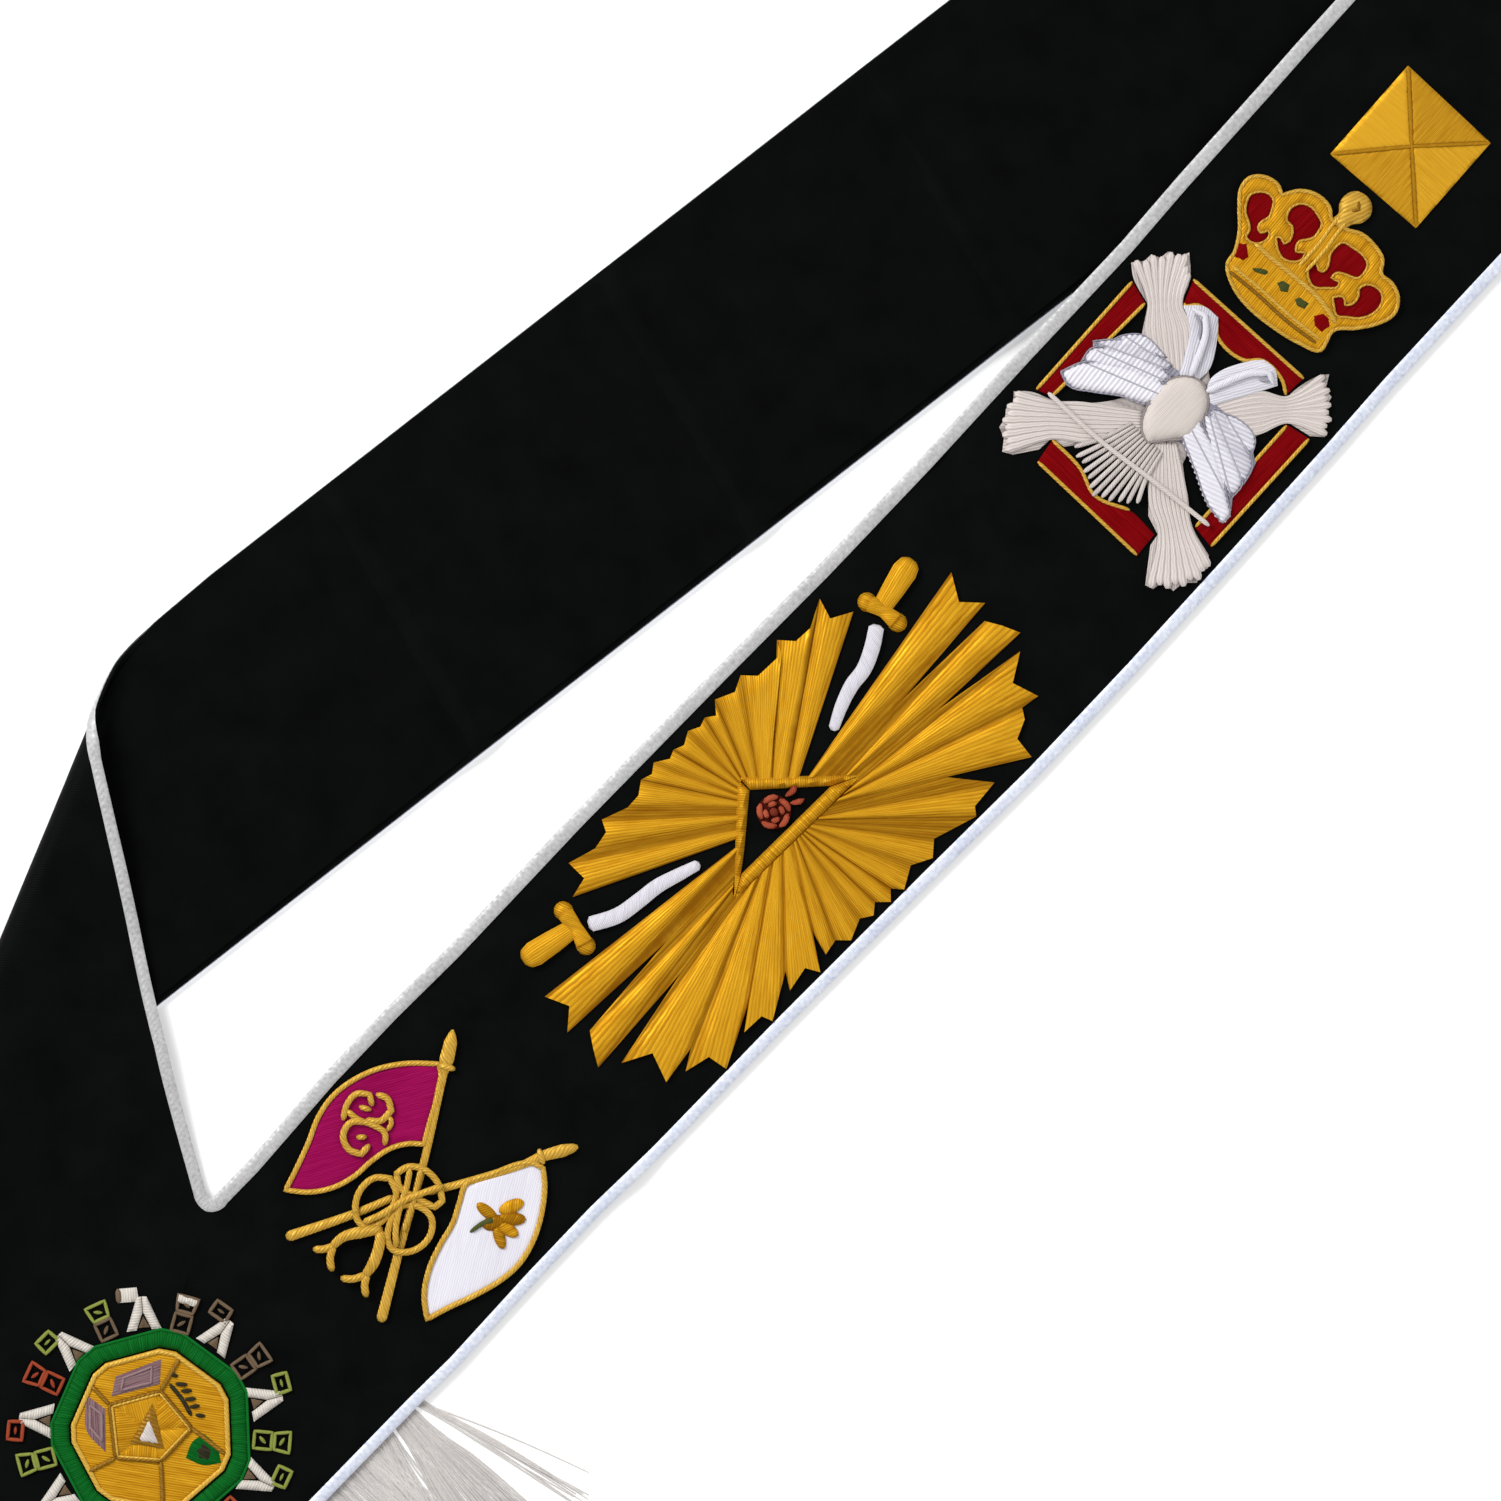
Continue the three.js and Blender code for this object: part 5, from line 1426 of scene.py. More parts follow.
jewel_green = thread_finish("jewel_green", (0.01, 0.015, 0.003), (0.035, 0.050, 0.012),
                            (0.10, 0.11, 0.03), pitch=0.7, gloss=0.3)
crown = Bundle()
satin(crown, CROWN, SIT + 0.9, SIT + 2.1, gold, turn=96, tone=0.5, holes=OPENINGS,
      soft=1.6, step=1.2, sharp=75)
for opening in OPENINGS:
    cord(crown, opening, 0.9, SIT + 1.2, gold_cord, closed=True, tone=0.4, sharp=75)
cord(crown, CROWN, 1.4, SIT + 1.1, gold_cord, closed=True, tone=0.5, sharp=75)
cord(crown, CROWN_RIM, 1.8, SIT + 1.6, gold_cord, tone=0.6)
# Two cords side by side along the band: the first is darkened as painted shade and the second
# lightened as painted light.
cord(crown, ((27.7, 468.6), (39.3, 469.6), (53.8, 470.2), (65.8, 471.8)), 1.3, SIT + 1.75,
     gold_cord, tone=0.0)
cord(crown, ((27.2, 470.6), (39.3, 471.6), (53.8, 472.2), (66, 473.6)), 1.3, SIT + 1.75,
     gold_cord, tone=0.65)
for number, corners in enumerate(JEWELS):
    look = crimson if number in (0, 4) else jewel_green
    satin(crown, corners, SIT + 1.6, SIT + 2.5, look, tone=0.5, soft=1.2, step=0.9, sharp=30)
ORB = ((40.6, 505.4), (40.6, 508.6), (38.6, 511), (37.9, 514.2), (39.2, 517.8), (42.4, 519.4),
       (46, 519), (48.8, 516), (48.6, 512), (46.4, 508.8), (45.9, 505.2))
satin(crown, ORB, SIT + 0.9, SIT + 2.7, gold_cord, turn=70, soft=3.6, tone=0.62, sharp=100)
cord(crown, ((43.2, 512), (44.6, 514.2), (42.6, 516.2)), 1.1, SIT + 2.3, gold_cord, tone=0.0)
for shift in (-1.5, 1.5):
    cord(crown, ((43 + shift, 508.4), (43.5 + shift, 502.9), (44.4 + shift, 496.9),
                 (44.9 + shift, 486.5)), 1.2, SIT + 1.7, gold_cord, tone=0.75)
crown.sew("crown_gold_work", "gold_thread", "crown_frame")
velvet = Bundle()
LINING = ((27, 472), (22, 482), (14, 490), (13, 496), (20, 499.5), (25, 499), (30, 506),
          (38, 505), (50, 506.5), (60, 506.5), (66, 502.3), (73, 500.5), (75.5, 496),
          (70, 485.5), (65.5, 479), (66, 472), (45, 468))
satin(velvet, LINING, SIT, SIT + 1.1, crimson, turn=90, tone=0.5, soft=3)
velvet.sew("crown_velvet", "crimson", "crown_lining")

# %% Square frame behind the cross
SQUARE = {
    "top": ((20.9, 458.4), (71.2, 460.7), (70.8, 452.2), (66, 455), (57, 455),
            (52, 450.5), (40.5, 450), (36, 453.6), (28, 453), (25.2, 450), (24.2, 450.2)),
    "left": ((6.3, 443.4), (15, 441), (14.4, 396.6), (8.5, 394.2)),
    "right": ((77.8, 445.2), (87, 447.2), (88.6, 397.6), (79.8, 398.6)),
    "bottom": ((24.6, 385.9), (26.2, 376.8), (72.6, 377.6), (71.8, 387.2), (60, 387.2),
               (48, 382.5), (38, 385.6)),
}
SQUARE_EDGES = {
    "top": (((20.9, 458.2), (71.2, 460.4)), SQUARE["top"][2:]),
    "left": (((6.6, 443.2), (8.8, 394.4)), ((14.8, 441), (14.2, 396.8))),
    "right": (((86.8, 447), (88.4, 397.8)), ((78.2, 445), (80, 398.8))),
    "bottom": (((26.2, 377.2), (72.4, 378)), (SQUARE["bottom"][0], *SQUARE["bottom"][:3:-1])),
}
for side, corners in SQUARE.items():
    bar = Bundle()
    satin(bar, corners, SIT, SIT + 0.9, crimson, turn=90 if side in ("left", "right") else 0,
          tone=0.5)
    for edge in SQUARE_EDGES[side]:
        cord(bar, edge, 1.3, SIT + 0.35, gold_cord, tone=0.55, sharp=75)
    bar.sew(f"square_{side}_velvet", "crimson", f"square_{side}_bar")

# %% [markdown]
# ## The cross and its wings
# The arms of the cross are fans of pale pink-silver thread that spread from the
# middle to scalloped ends. Over them lie two wings. Each feather is its own padded
# shape and laps over the next, and the tail is a row of cords.

# %% Cross of rays
CROSS = (
    (20, 457.6), (13.6, 463.8), (11.6, 460), (8.2, 459), (7.8, 455.6), (4.8, 454.4),
    (4.6, 451), (1.8, 447.6), (6, 444.4), (15.8, 441.4), (21.5, 432.5), (36, 424),
    (30, 410), (16, 396.2), (8, 392.6), (3.7, 388.6), (6, 386), (6, 382.4), (8, 380),
    (8.6, 376.5), (12.3, 375), (15.2, 371.2), (18.4, 373), (23.6, 380.4), (24, 386.4),
    (29, 387), (36.4, 396.2), (48.5, 404), (59.6, 396.6), (66, 390.2), (72.6, 388),
    (73.4, 383.6), (81.6, 372.7), (84.4, 373.6), (85, 377.4), (89.8, 378), (90.2, 382.2),
    (93.6, 385.6), (91.4, 388.6), (92.8, 391.6), (90, 395), (79.2, 398.2), (62, 411),
    (58, 422), (73.2, 434.8), (77.2, 446), (86.4, 448), (90.3, 451.4), (87.4, 454),
    (87, 457.2), (83.4, 458.5), (82.4, 462.6), (79, 463.2), (76.4, 467.6), (74.2, 464.6),
    (72, 457), (71.6, 451.4), (56, 443.5), (48.6, 438), (40, 444), (23.6, 449),
)
MIDDLE = (48.0, 418.0)
PLEATS = 15.0


def pleat_relief(x, y):
    turn = np.arctan2(y - MIDDLE[1], x - MIDDLE[0])
    return -0.55 * np.abs(np.cos(turn * PLEATS))**6


ARMS = (
    (((36.5, 424.5), (20.7, 435.0), (15.2, 441.8), (2.6, 446.8)),
     ((47, 438), (33, 445.8), (24.2, 449.6), (19.6, 457.4)),
     ((2.2, 447.8), (5.2, 453), (8.6, 458.2), (12.4, 462.8), (19.4, 457.6))),
    (((58, 437), (63.4, 447), (71.2, 452), (72.8, 460)),
     ((60.4, 421.5), (73, 435.4), (77.8, 445.6), (88.4, 449.6)),
     ((74.4, 466), (79.4, 464), (83.4, 460.6), (87.6, 456.6), (90.2, 451.2))),
    (((61, 412), (70.4, 404.6), (79.2, 397.8), (91.4, 393.6)),
     ((50, 404.4), (62.6, 393.8), (72.2, 388.4), (80.4, 374.6)),
     ((92, 393.6), (93.2, 387.4), (90.4, 381), (86.6, 376.6), (82.2, 373))),
    (((46.5, 404), (34.4, 393.8), (24.4, 386), (20.6, 375.2)),
     ((33.5, 411), (22.4, 401.8), (15.8, 395.8), (5.4, 390.2)),
     ((16.6, 372), (12, 375.2), (8.4, 378.8), (5.8, 383.8), (4.6, 389.6))),
)
RAYS_IN_ARM = 9
cross = Bundle()
# The pleats' relief also sets the tone: painted shade in the grooves between the pleats.
satin(cross, CROSS, SIT, SIT + 0.8, silver, turn=threads_from(MIDDLE, 48), tone=0.45,
      soft=1.2, step=1.1, relief=pleat_relief, shade=0.5, sharp=25)
for left, right, ends in ARMS:
    left, right = np.array(left), np.array(right)
    left[0] = left[0] * 0.6 + np.array(MIDDLE) * 0.4
    right[0] = right[0] * 0.6 + np.array(MIDDLE) * 0.4
    for number in range(RAYS_IN_ARM):
        part = (number + 0.5) / RAYS_IN_ARM
        line = left * (1 - part) + right * part
        tip = along(ends, [part])[0]
        reach = 0.97 if number % 2 else 1.03
        line[3] = line[2] + (tip - line[2]) * reach
        wide = np.linalg.norm(left - right, axis=1) / RAYS_IN_ARM * 1.12
        wide[3] *= 1.15
        # The rays are lightened as painted light, every other one more.
        cord(cross, line, wide, SIT + 0.45, silver, flat=0.62, sharp=80, twist=0.0,
             tone=0.66 + 0.14 * (number % 2), sides=10)
cross.sew("cross_of_rays", "silver_thread", "ray_cross")

# %% Feathers
WING_LOW = SIT + 1.3
LEFT_FEATHERS = (
    ((33, 433), (22, 432.8), (17, 428), (15.2, 423.2), (19, 424.4), (26, 428)),
    ((36, 432.4), (24, 430), (16, 425), (11, 419.4), (17, 419.6), (26, 424), (36, 428.4)),
    ((38.6, 430), (26, 427), (18, 422.6), (12.4, 417.4), (13, 411.6), (19, 415),
     (27, 420), (38, 424)),
    ((40, 426.6), (28, 422.6), (20, 417.8), (13.6, 412), (10.4, 404.4), (16, 402.8),
     (22.5, 406.6), (30.5, 412.4), (40, 418)),
)
RIGHT_FEATHERS = (
    ((57, 431), (68, 428.6), (77, 428.8), (73.4, 434.4), (64, 434.8)),
    ((55, 429.4), (66, 424), (75, 420.6), (81.6, 420.4), (79, 427.6), (68, 431),
     (58, 432.8)),
    ((55, 427.6), (65, 420.4), (74, 415.6), (82, 414), (81, 420.6), (70, 425.8),
     (58, 430.6)),
    ((54.6, 425.6), (66, 422), (74, 418), (80.8, 413.2), (85.6, 409.4), (85.6, 406),
     (78, 407), (67, 412), (54.6, 417.6)),
)
WING_GROUND = {
    "left": ((41, 433), (30, 431), (22, 432.6), (16.5, 427.5), (15.5, 423), (11, 419.5),
             (13.5, 417), (13, 411.5), (10.6, 404), (15, 402.4), (20, 405.4), (30, 412),
             (41, 419)),
    "right": ((54, 433), (62, 433.5), (72.8, 434.4), (77, 430), (79.6, 428.4),
              (81.6, 421.4), (81, 417), (85.4, 409.6), (85.4, 406.6), (79, 407.4),
              (68, 411.6), (54, 417)),
}


def serrated(corners, depth=0.55, tooth=2.1):
    """The outline of a feather, cut into small teeth."""
    line = flowing(corners, tooth / 2, 60)
    ahead = np.roll(line, -1, 0) - np.roll(line, 1, 0)
    across = np.stack([-ahead[:, 1], ahead[:, 0]], axis=1)
    across /= np.linalg.norm(across, axis=1)[:, None]
    line[::2] += across[::2] * depth
    return line


for side, feathers, lean in (("left", LEFT_FEATHERS, 38), ("right", RIGHT_FEATHERS, -38)):
    wing = Bundle()
    # The wing's ground under the feathers is darkened: painted shade between the feathers.
    satin(wing, WING_GROUND[side], WING_LOW - 0.1, WING_LOW + 0.45, feather,
          turn=lean + 58, tone=0.05, soft=1.4)
    for number, corners in enumerate(feathers):
        level = WING_LOW + 0.22 * number
        # Each feather gets its own tone as painted light and shade, and a darkened cord round it
        # paints the shade at its edge.
        satin(wing, serrated(corners), WING_LOW - 0.1, level + 0.75, feather,
              turn=lean + 58, soft=1.6, tone=(0.50, 0.42, 0.66, 0.92)[number], step=1.1,
              sharp=20)
        cord(wing, corners, 0.5, level + 0.05, feather, closed=True, tone=0.0, sides=6)
        spine = (np.array(corners[0]) + np.array(corners[-1])) / 2
        tip = np.array(corners[3 if number else 2])
        cord(wing, (spine, spine * 0.45 + tip * 0.55, tip * 0.94 + spine * 0.06), 0.6,
             level + 0.5, white, tone=0.15, sides=6)
    wing.sew(f"{side}_wing_feathers", "silver_thread", f"{side}_wing")

# %% Body, plumes and tail
BODY = ((48.3, 407.7), (52.7, 413.2), (57.4, 419.4), (56.8, 425.5), (54.2, 431.2), (50, 434.6),
        (45, 434.8), (40.6, 431.4), (38.4, 426.8), (38.7, 419.9), (40.9, 413.6), (44, 409.4))
LEFT_PLUME = ((43, 434), (40.6, 440), (37, 447.4), (32.4, 452), (27.4, 450.6))
RIGHT_PLUME = ((50.6, 434), (53.4, 441.6), (57, 449), (61.4, 453.2), (65.4, 451.6))
body = Bundle()
satin(body, ((40, 431.6), (46, 435), (46, 440.4), (40.6, 449.6), (36, 454.8), (30, 454.2),
             (24.6, 449.4), (31, 446), (37.6, 436)), WING_LOW, WING_LOW + 1.0, white,
      turn=120, tone=0.45)
satin(body, ((50, 435), (55, 431.6), (58, 437), (62, 444), (66.6, 452.4), (62, 455.8),
             (57, 455.4), (53.4, 451), (48.6, 439)), WING_LOW, WING_LOW + 1.0, white,
      turn=60, tone=0.7)
silk = thread_finish("body_silk", (0.24, 0.20, 0.19), (0.62, 0.56, 0.52),
                     (0.78, 0.71, 0.66), pitch=0.6, relief=0.12, wander=0.3)
satin(body, BODY, WING_LOW, WING_LOW + 2.4, silk, turn=90, tone=0.7, soft=5.5)
cord(body, BODY, 0.9, WING_LOW + 0.1, silver, closed=True, tone=0.0)
# The plumes' cords are lightened as painted light, and the darkened cords in their curls are
# painted shade.
cord(body, LEFT_PLUME, (2.2, 2.6, 2.4, 2, 1.2), WING_LOW + 0.9, white, tone=0.8)
cord(body, RIGHT_PLUME, (2.2, 2.6, 2.6, 2.2, 1.4), WING_LOW + 0.9, white, tone=0.85)
cord(body, ((36.6, 445), (33, 449), (29.6, 450)), 1.0, WING_LOW + 0.9, white, tone=0.0)
cord(body, ((60.6, 449.4), (63.6, 451.4)), 1.1, WING_LOW + 1.2, white, tone=0.0)
body.sew("wing_body_stitched", "silver_thread", "wing_body")
TAIL_ROOTS = np.linspace(40.0, 54.0, 12)
TAIL_TIPS = ((31.6, 389.4), (34.4, 387.4), (37.2, 387.4), (39.8, 385.4), (42.4, 385),
             (45, 383), (47.6, 381.8), (50.2, 383.6), (52.8, 384.4), (55.4, 386.6),
             (57.8, 388.2), (60.2, 390.6))
tail = Bundle()
for number, (root_x, tip) in enumerate(zip(TAIL_ROOTS, TAIL_TIPS)):
    cord(tail, ((root_x, 409), ((root_x * 0.55 + tip[0] * 0.45), 398), tip),
         (1.1, 1.6, 1.7), WING_LOW - 0.2, silver, tone=0.35 + 0.3 * (number % 2))
tail.sew("tail_cords", "silver_thread", "wing_tail")
bar = Bundle()
cord(bar, ((12.4, 396.2), (36, 396.9), (60, 399.8), (83, 402.1)), 1.7, WING_LOW + 1.3,
     silver, tone=0.8)
bar.sew("couched_cord_bar", "silver_thread", "cord_bar")

# %% [markdown]
# ## The glory
# Long pleated rays of gold run out from a plain triangle. Every ray is a ridge
# between two valleys, and the ends are notched; the valleys are darkened with
# painted shade and the ridges lightened with painted light. Two wavy blades with
# gold hilts reach in from both sides, and a small coral rose sits inside the triangle.

# %% Rays
RAYS_RIGHT = (
    (31.3, 330, 0), (40.2, 324.5, 1), (46.8, 330.5, 0), (49.6, 288, 0), (51, 326, 0),
    (56.4, 329, 1), (62.4, 331.6, 0), (60.8, 294, 0), (66.8, 327, 0), (72.5, 317.5, 1),
    (81.8, 320.4, 0), (80.6, 313.8, 0), (84, 311.5, 1), (86.8, 305, 1), (94.6, 304, 0),
    (76.8, 277.5, 0), (91.6, 289, 0), (92.4, 278.6, 1), (95.2, 276.4, 0), (90.2, 261, 0),
    (94.4, 256, 1), (90.8, 249, 0), (94.9, 241.6, 1), (91.4, 238.6, 0), (94.6, 235.4, 1),
    (90.8, 231.6, 0), (93.6, 228, 1), (91, 224, 0), (94, 216.6, 1), (90.2, 213, 0),
    (91.2, 207.2, 1), (82.6, 209.6, 0), (94.1, 201.6, 1), (89.4, 199, 1), (91, 190, 1),
    (85.4, 193.6, 0), (94, 178.4, 1), (90.2, 177, 1), (89.8, 169, 1), (84, 177, 0),
    (94.1, 155.8, 1), (87, 154.6, 1), (84.8, 145.6, 0), (80.6, 152.4, 0),
    (82.6, 138.4, 1), (72.4, 142.2, 1), (67.2, 132.4, 0), (60.4, 168, 0),
    (62.6, 125.8, 0), (57, 129.2, 1), (51.8, 132.8, 0), (49.4, 172, 0), (46.8, 127, 0),
    (41, 134, 1), (32.8, 130.4, 0),
)
RAYS_LEFT = (
    (16, 161.2, 0), (14.4, 168.6, 1), (7, 168.6, 0), (10, 178.4, 0), (8.8, 185, 1),
    (4.8, 187, 0), (8.2, 196, 0), (8, 201.6, 1), (4.9, 206, 0), (6.2, 210, 1),
    (3.9, 213.2, 0), (7, 218, 1), (5.7, 221, 0), (7.2, 224.6, 1), (4.8, 229, 0),
    (6.8, 233, 1), (5.7, 236.2, 0), (8, 239.4, 1), (3.9, 243, 0), (7, 249.6, 1),
    (4.4, 255, 0), (8.8, 259, 1), (9.3, 270, 1), (4.9, 272.2, 0), (9.8, 276.4, 1),
    (10.2, 283, 1), (5.5, 292.4, 0), (12.8, 290, 1), (16.8, 297.2, 0),
)
RIGHT_ROOT = ((44.6, 248.6), (57.4, 262.4), (59.4, 261.6), (57.4, 195.4), (55.4, 195.2),
              (43.6, 210.4))
LEFT_ROOT = ((41.8, 212.4), (26.7, 229.3), (42.6, 245.4))
TUCK = 0.87
GLORY_MIDDLE = np.array([47.0, 229.3])
for side, root, tips in (("right", RIGHT_ROOT, RAYS_RIGHT), ("left", LEFT_ROOT, RAYS_LEFT)):
    rays = Bundle()
    root = GLORY_MIDDLE + (np.array(root) - GLORY_MIDDLE) * TUCK
    fan(rays, root, tips, SIT, 0.45, 1.9, gold)
    rays.sew(f"glory_{side}_pleated_rays", "gold_thread", f"glory_{side}_rays")

# %% Triangle and rose
triangle = Bundle()
OUTER = ((57.6, 259.5), (27.6, 229.4), (56.2, 198.5))
INNER = ((52.6, 249.5), (33.8, 229.2), (51.6, 206.5))
for number in range(3):
    after = (number + 1) % 3
    band = (OUTER[number], OUTER[after], INNER[after], INNER[number])
    way = np.array(OUTER[after]) - np.array(OUTER[number])
    # Each side gets its own tone: painted light and shade, as its threads run another way.
    satin(triangle, drawn_in(band, 0.985), SIT, SIT + 2.1, gold, soft=1.9,
          tone=(0.55, 0.62, 0.5)[number], sharp=15,
          turn=math.degrees(math.atan2(way[1], way[0])) + 90)
triangle.sew("glory_triangle_satin", "gold_thread", "glory_triangle")
ROSE = (44.9, 229.6)
rose = Bundle()
satin(rose, oval(*ROSE, 5.8, 5.8), SIT, SIT + 0.6, rose_red, tone=0.0)
cord(rose, ((44, 236.2), (44.4, 239.6), (43, 241.8)), (1.6, 2.4, 1.0), SIT, rose_red, tone=0.3)
cord(rose, ((46.8, 235.6), (48.6, 238.2), (49.2, 240)), (1.4, 2.2, 1.0), SIT, rose_red, tone=0.4)
for petals, reach, wide, level in ((5, 5.3, 2.2, 0.4), (4, 3.0, 1.9, 0.9)):
    for number in range(petals):
        start = number / petals * 360 + reach * 9
        arc = [(ROSE[0] + reach * math.cos(math.radians(start + a)) * (1 - a / 420),
                ROSE[1] + reach * math.sin(math.radians(start + a)) * (1 - a / 420))
               for a in (0, 16, 32, 48, 62)]
        cord(rose, arc, wide, SIT + level, rose_red, tone=0.4 + 0.16 * (number % 3))
satin(rose, oval(*ROSE, 1.6, 1.5, 9), SIT + 1.6, SIT + 2.9, rose_red, tone=0.2, step=0.8,
      soft=1.2)
rose.sew("rose_of_knots", "rose", "rose")

# %% Blades and hilts
BLADES = {
    "upper": (((25.6, 299.6), (30, 292.6), (33, 285.5), (33.8, 279), (36.2, 271.5),
               (40, 263.4)), (5.4, 5.6, 5.4, 5.2, 4.6, 3.6)),
    "lower": (((26.4, 158.2), (31.4, 167.6), (33, 176), (34.1, 184), (36.6, 192),
               (39.1, 199.4)), (5.4, 5.6, 5.4, 5.2, 4.6, 3.6)),
}
HILTS = {
    "upper": (((18.9, 323.9), (19.7, 319.2), (21.2, 312), (23, 303.4)),
              ((18, 302.8), (24, 304.4), (30, 305))),
    "lower": (((19.2, 133.9), (20.1, 138.4), (21.8, 146), (23.6, 154.4)),
              ((17.2, 155.7), (24, 154.6), (30.6, 152.6))),
}
for side, (line, widths) in BLADES.items():
    blade = Bundle()
    cord(blade, line, widths, SIT, white, tone=0.5, flat=0.36, sides=12, twist=1.2, blunt=1.5)
    blade.sew(f"{side}_blade_satin", "silver_thread", f"{side}_blade")
    grip, guard = HILTS[side]
    hilt = Bundle()
    cord(hilt, grip, (6.4, 8.9, 8.0, 6.4), SIT, gold, tone=0.55, flat=0.33, sides=16,
         twist=0.0, spacing=0.8, blunt=0.35)
    cord(hilt, guard, (6.4, 4.6, 6.4), SIT + 0.3, gold, tone=0.55, flat=0.5, sides=12)
    for end in (guard[0], guard[2]):
        satin(hilt, oval(*end, 3.5, 3.3), SIT, SIT + 2.2, gold, turn=20, soft=2.8, tone=0.5)
    hilt.sew(f"{side}_hilt_padded", "gold_thread", f"{side}_hilt")

# %% [markdown]
# ## Crossed flags
# One flag is magenta satin and the other is white, both edged with gold cord. A plain
# scroll and a sprig stand on them. The poles cross under a knotted cord with tails.

# %% Flags and what is on them
LEFT_FLAG = (
    (22.8, 88.9), (14.8, 81.3), (8.8, 72.5), (5.4, 62.5), (4.8, 55), (6.2, 47.5),
    (9.8, 39), (13, 30), (15.5, 22), (22, 27.4), (26.5, 34), (28.9, 41.5), (29.6, 50),
    (31.2, 57), (34.6, 62.6), (38.3, 65.9), (35.3, 71.3), (25.7, 87.2),
)
RIGHT_FLAG = (
    (73, 88.3), (77.5, 84.5), (83, 77.5), (87.5, 69), (89.8, 60), (89.4, 52), (86.4, 41),
    (83, 32), (80.5, 24), (74, 29.3), (69, 37), (66, 45.5), (64, 53.5), (60.6, 60.4),
    (58, 66.2), (61.6, 74.2), (68.6, 86.6),
)


def ripple(x, y):
    return 0.22 * np.sin(x / 5.1 + y / 8.3)


for side, corners, look, slot in (("left", LEFT_FLAG, magenta, "magenta"),
                                  ("right", RIGHT_FLAG, ivory, "silver_thread")):
    flag = Bundle()
    # The ripple also sets the tone: painted light on its rises and painted shade in its dips.
    satin(flag, corners, SIT, SIT + 0.8, look, turn=60 if side == "left" else 120, tone=0.5,
          relief=ripple, shade=0.25)
    cord(flag, corners, 1.9, SIT + 0.2, gold_cord, closed=True, tone=0.55)
    flag.sew(f"{side}_flag_satin", slot, f"{side}_flag")
SCROLLS = (
    (((13, 52.6), (10.2, 57.4), (10, 62.4), (13.4, 65.2), (16.8, 63)), 2.2),
    (((11.4, 56), (16.4, 56.4), (21.4, 58.6), (26.2, 59.4), (29, 56.4)), 2.2),
    (((14.8, 66.8), (18.6, 68.4), (22.4, 66.4), (22.2, 61.4), (18.4, 58.2)), 2.4),
    (((19.2, 57.8), (15.4, 54), (16.6, 49), (21.4, 47), (25.4, 48.8), (25.2, 53)), 2.4),
    (((22.8, 64.8), (25.4, 63.4), (26.2, 60.4)), 1.8),
    (((13.6, 59.8), (17.4, 61.8)), 2.0), (((20.2, 51.6), (22.6, 54.2)), 2.0),
)
scroll = Bundle()
for line, width in SCROLLS:
    cord(scroll, line, width, SIT + 0.9, gold_cord, tone=0.5)
scroll.sew("left_flag_scroll_cord", "gold_thread", "left_flag_scroll")
LEAVES = (
    ((69.6, 64.4), 4.4, 2.0, 4, 0.3), ((74.4, 71.4), 4.6, 2.3, 68, 0.5),
    ((77.4, 68.6), 4.8, 2.3, 42, 0.2), ((78.6, 65), 4.4, 2.2, 12, 0.55),
    ((78.6, 61.2), 4.4, 1.9, -28, 0.35), ((74, 63.4), 4.2, 2.6, 60, 0.15),
)
STEM = ((70.4, 55.4), (71.3, 60.4), (73.4, 64.4))
sprig = Bundle()
cord(sprig, STEM, (1.3, 1.8, 2.4), SIT + 0.8, jewel_green, tone=0.8)
for number, ((x, y), long, wide, turn, tone) in enumerate(LEAVES):
    satin(sprig, oval(x, y, long, wide, 12, turn), SIT + 0.8, SIT + 1.8 + 0.06 * number, gold,
          turn=turn + 60, tone=tone, soft=1.4, step=0.9)
sprig.sew("right_flag_sprig_leaves", "gold_thread", "right_flag_sprig")

# %% Poles and the knotted cord
POLES = {
    "left_pole": (((18.2, 100.6), (20.6, 97.2), (23.8, 92), (26.4, 87.6), (42.5, 61.6),
                   (56, 36.8), (69.9, 12.4)), (1.6, 4.6, 5.2, 3.0, 2.7, 3, 3.8)),
    "right_pole_head": (((76.4, 101.8), (73.6, 97.2), (70, 91), (67.6, 85.2), (57.4, 66.4),
                         (50.2, 54.6)), (2.6, 4.6, 3.8, 2.8, 2.7, 2.7)),
    "right_pole_foot": (((43.6, 46), (37.6, 32), (26.8, 10.6)), (2.7, 3, 3.8)),
}
COLLARS = {
    "left_pole": ((23.2, 88.8), (28.2, 91.6)),
    "right_pole_head": ((67.4, 92), (72.2, 89.4)),
}
for name, (line, widths) in POLES.items():
    pole = Bundle()
    cord(pole, line, widths, SIT, gold_cord, tone=0.55, flat=0.5, sides=10)
    if name in COLLARS:
        cord(pole, COLLARS[name], 2.2, SIT + 0.9, gold_cord, tone=0.7)
    pole.sew(f"{name}_couched", "gold_thread", name)
KNOT_LOW = SIT + 0.9
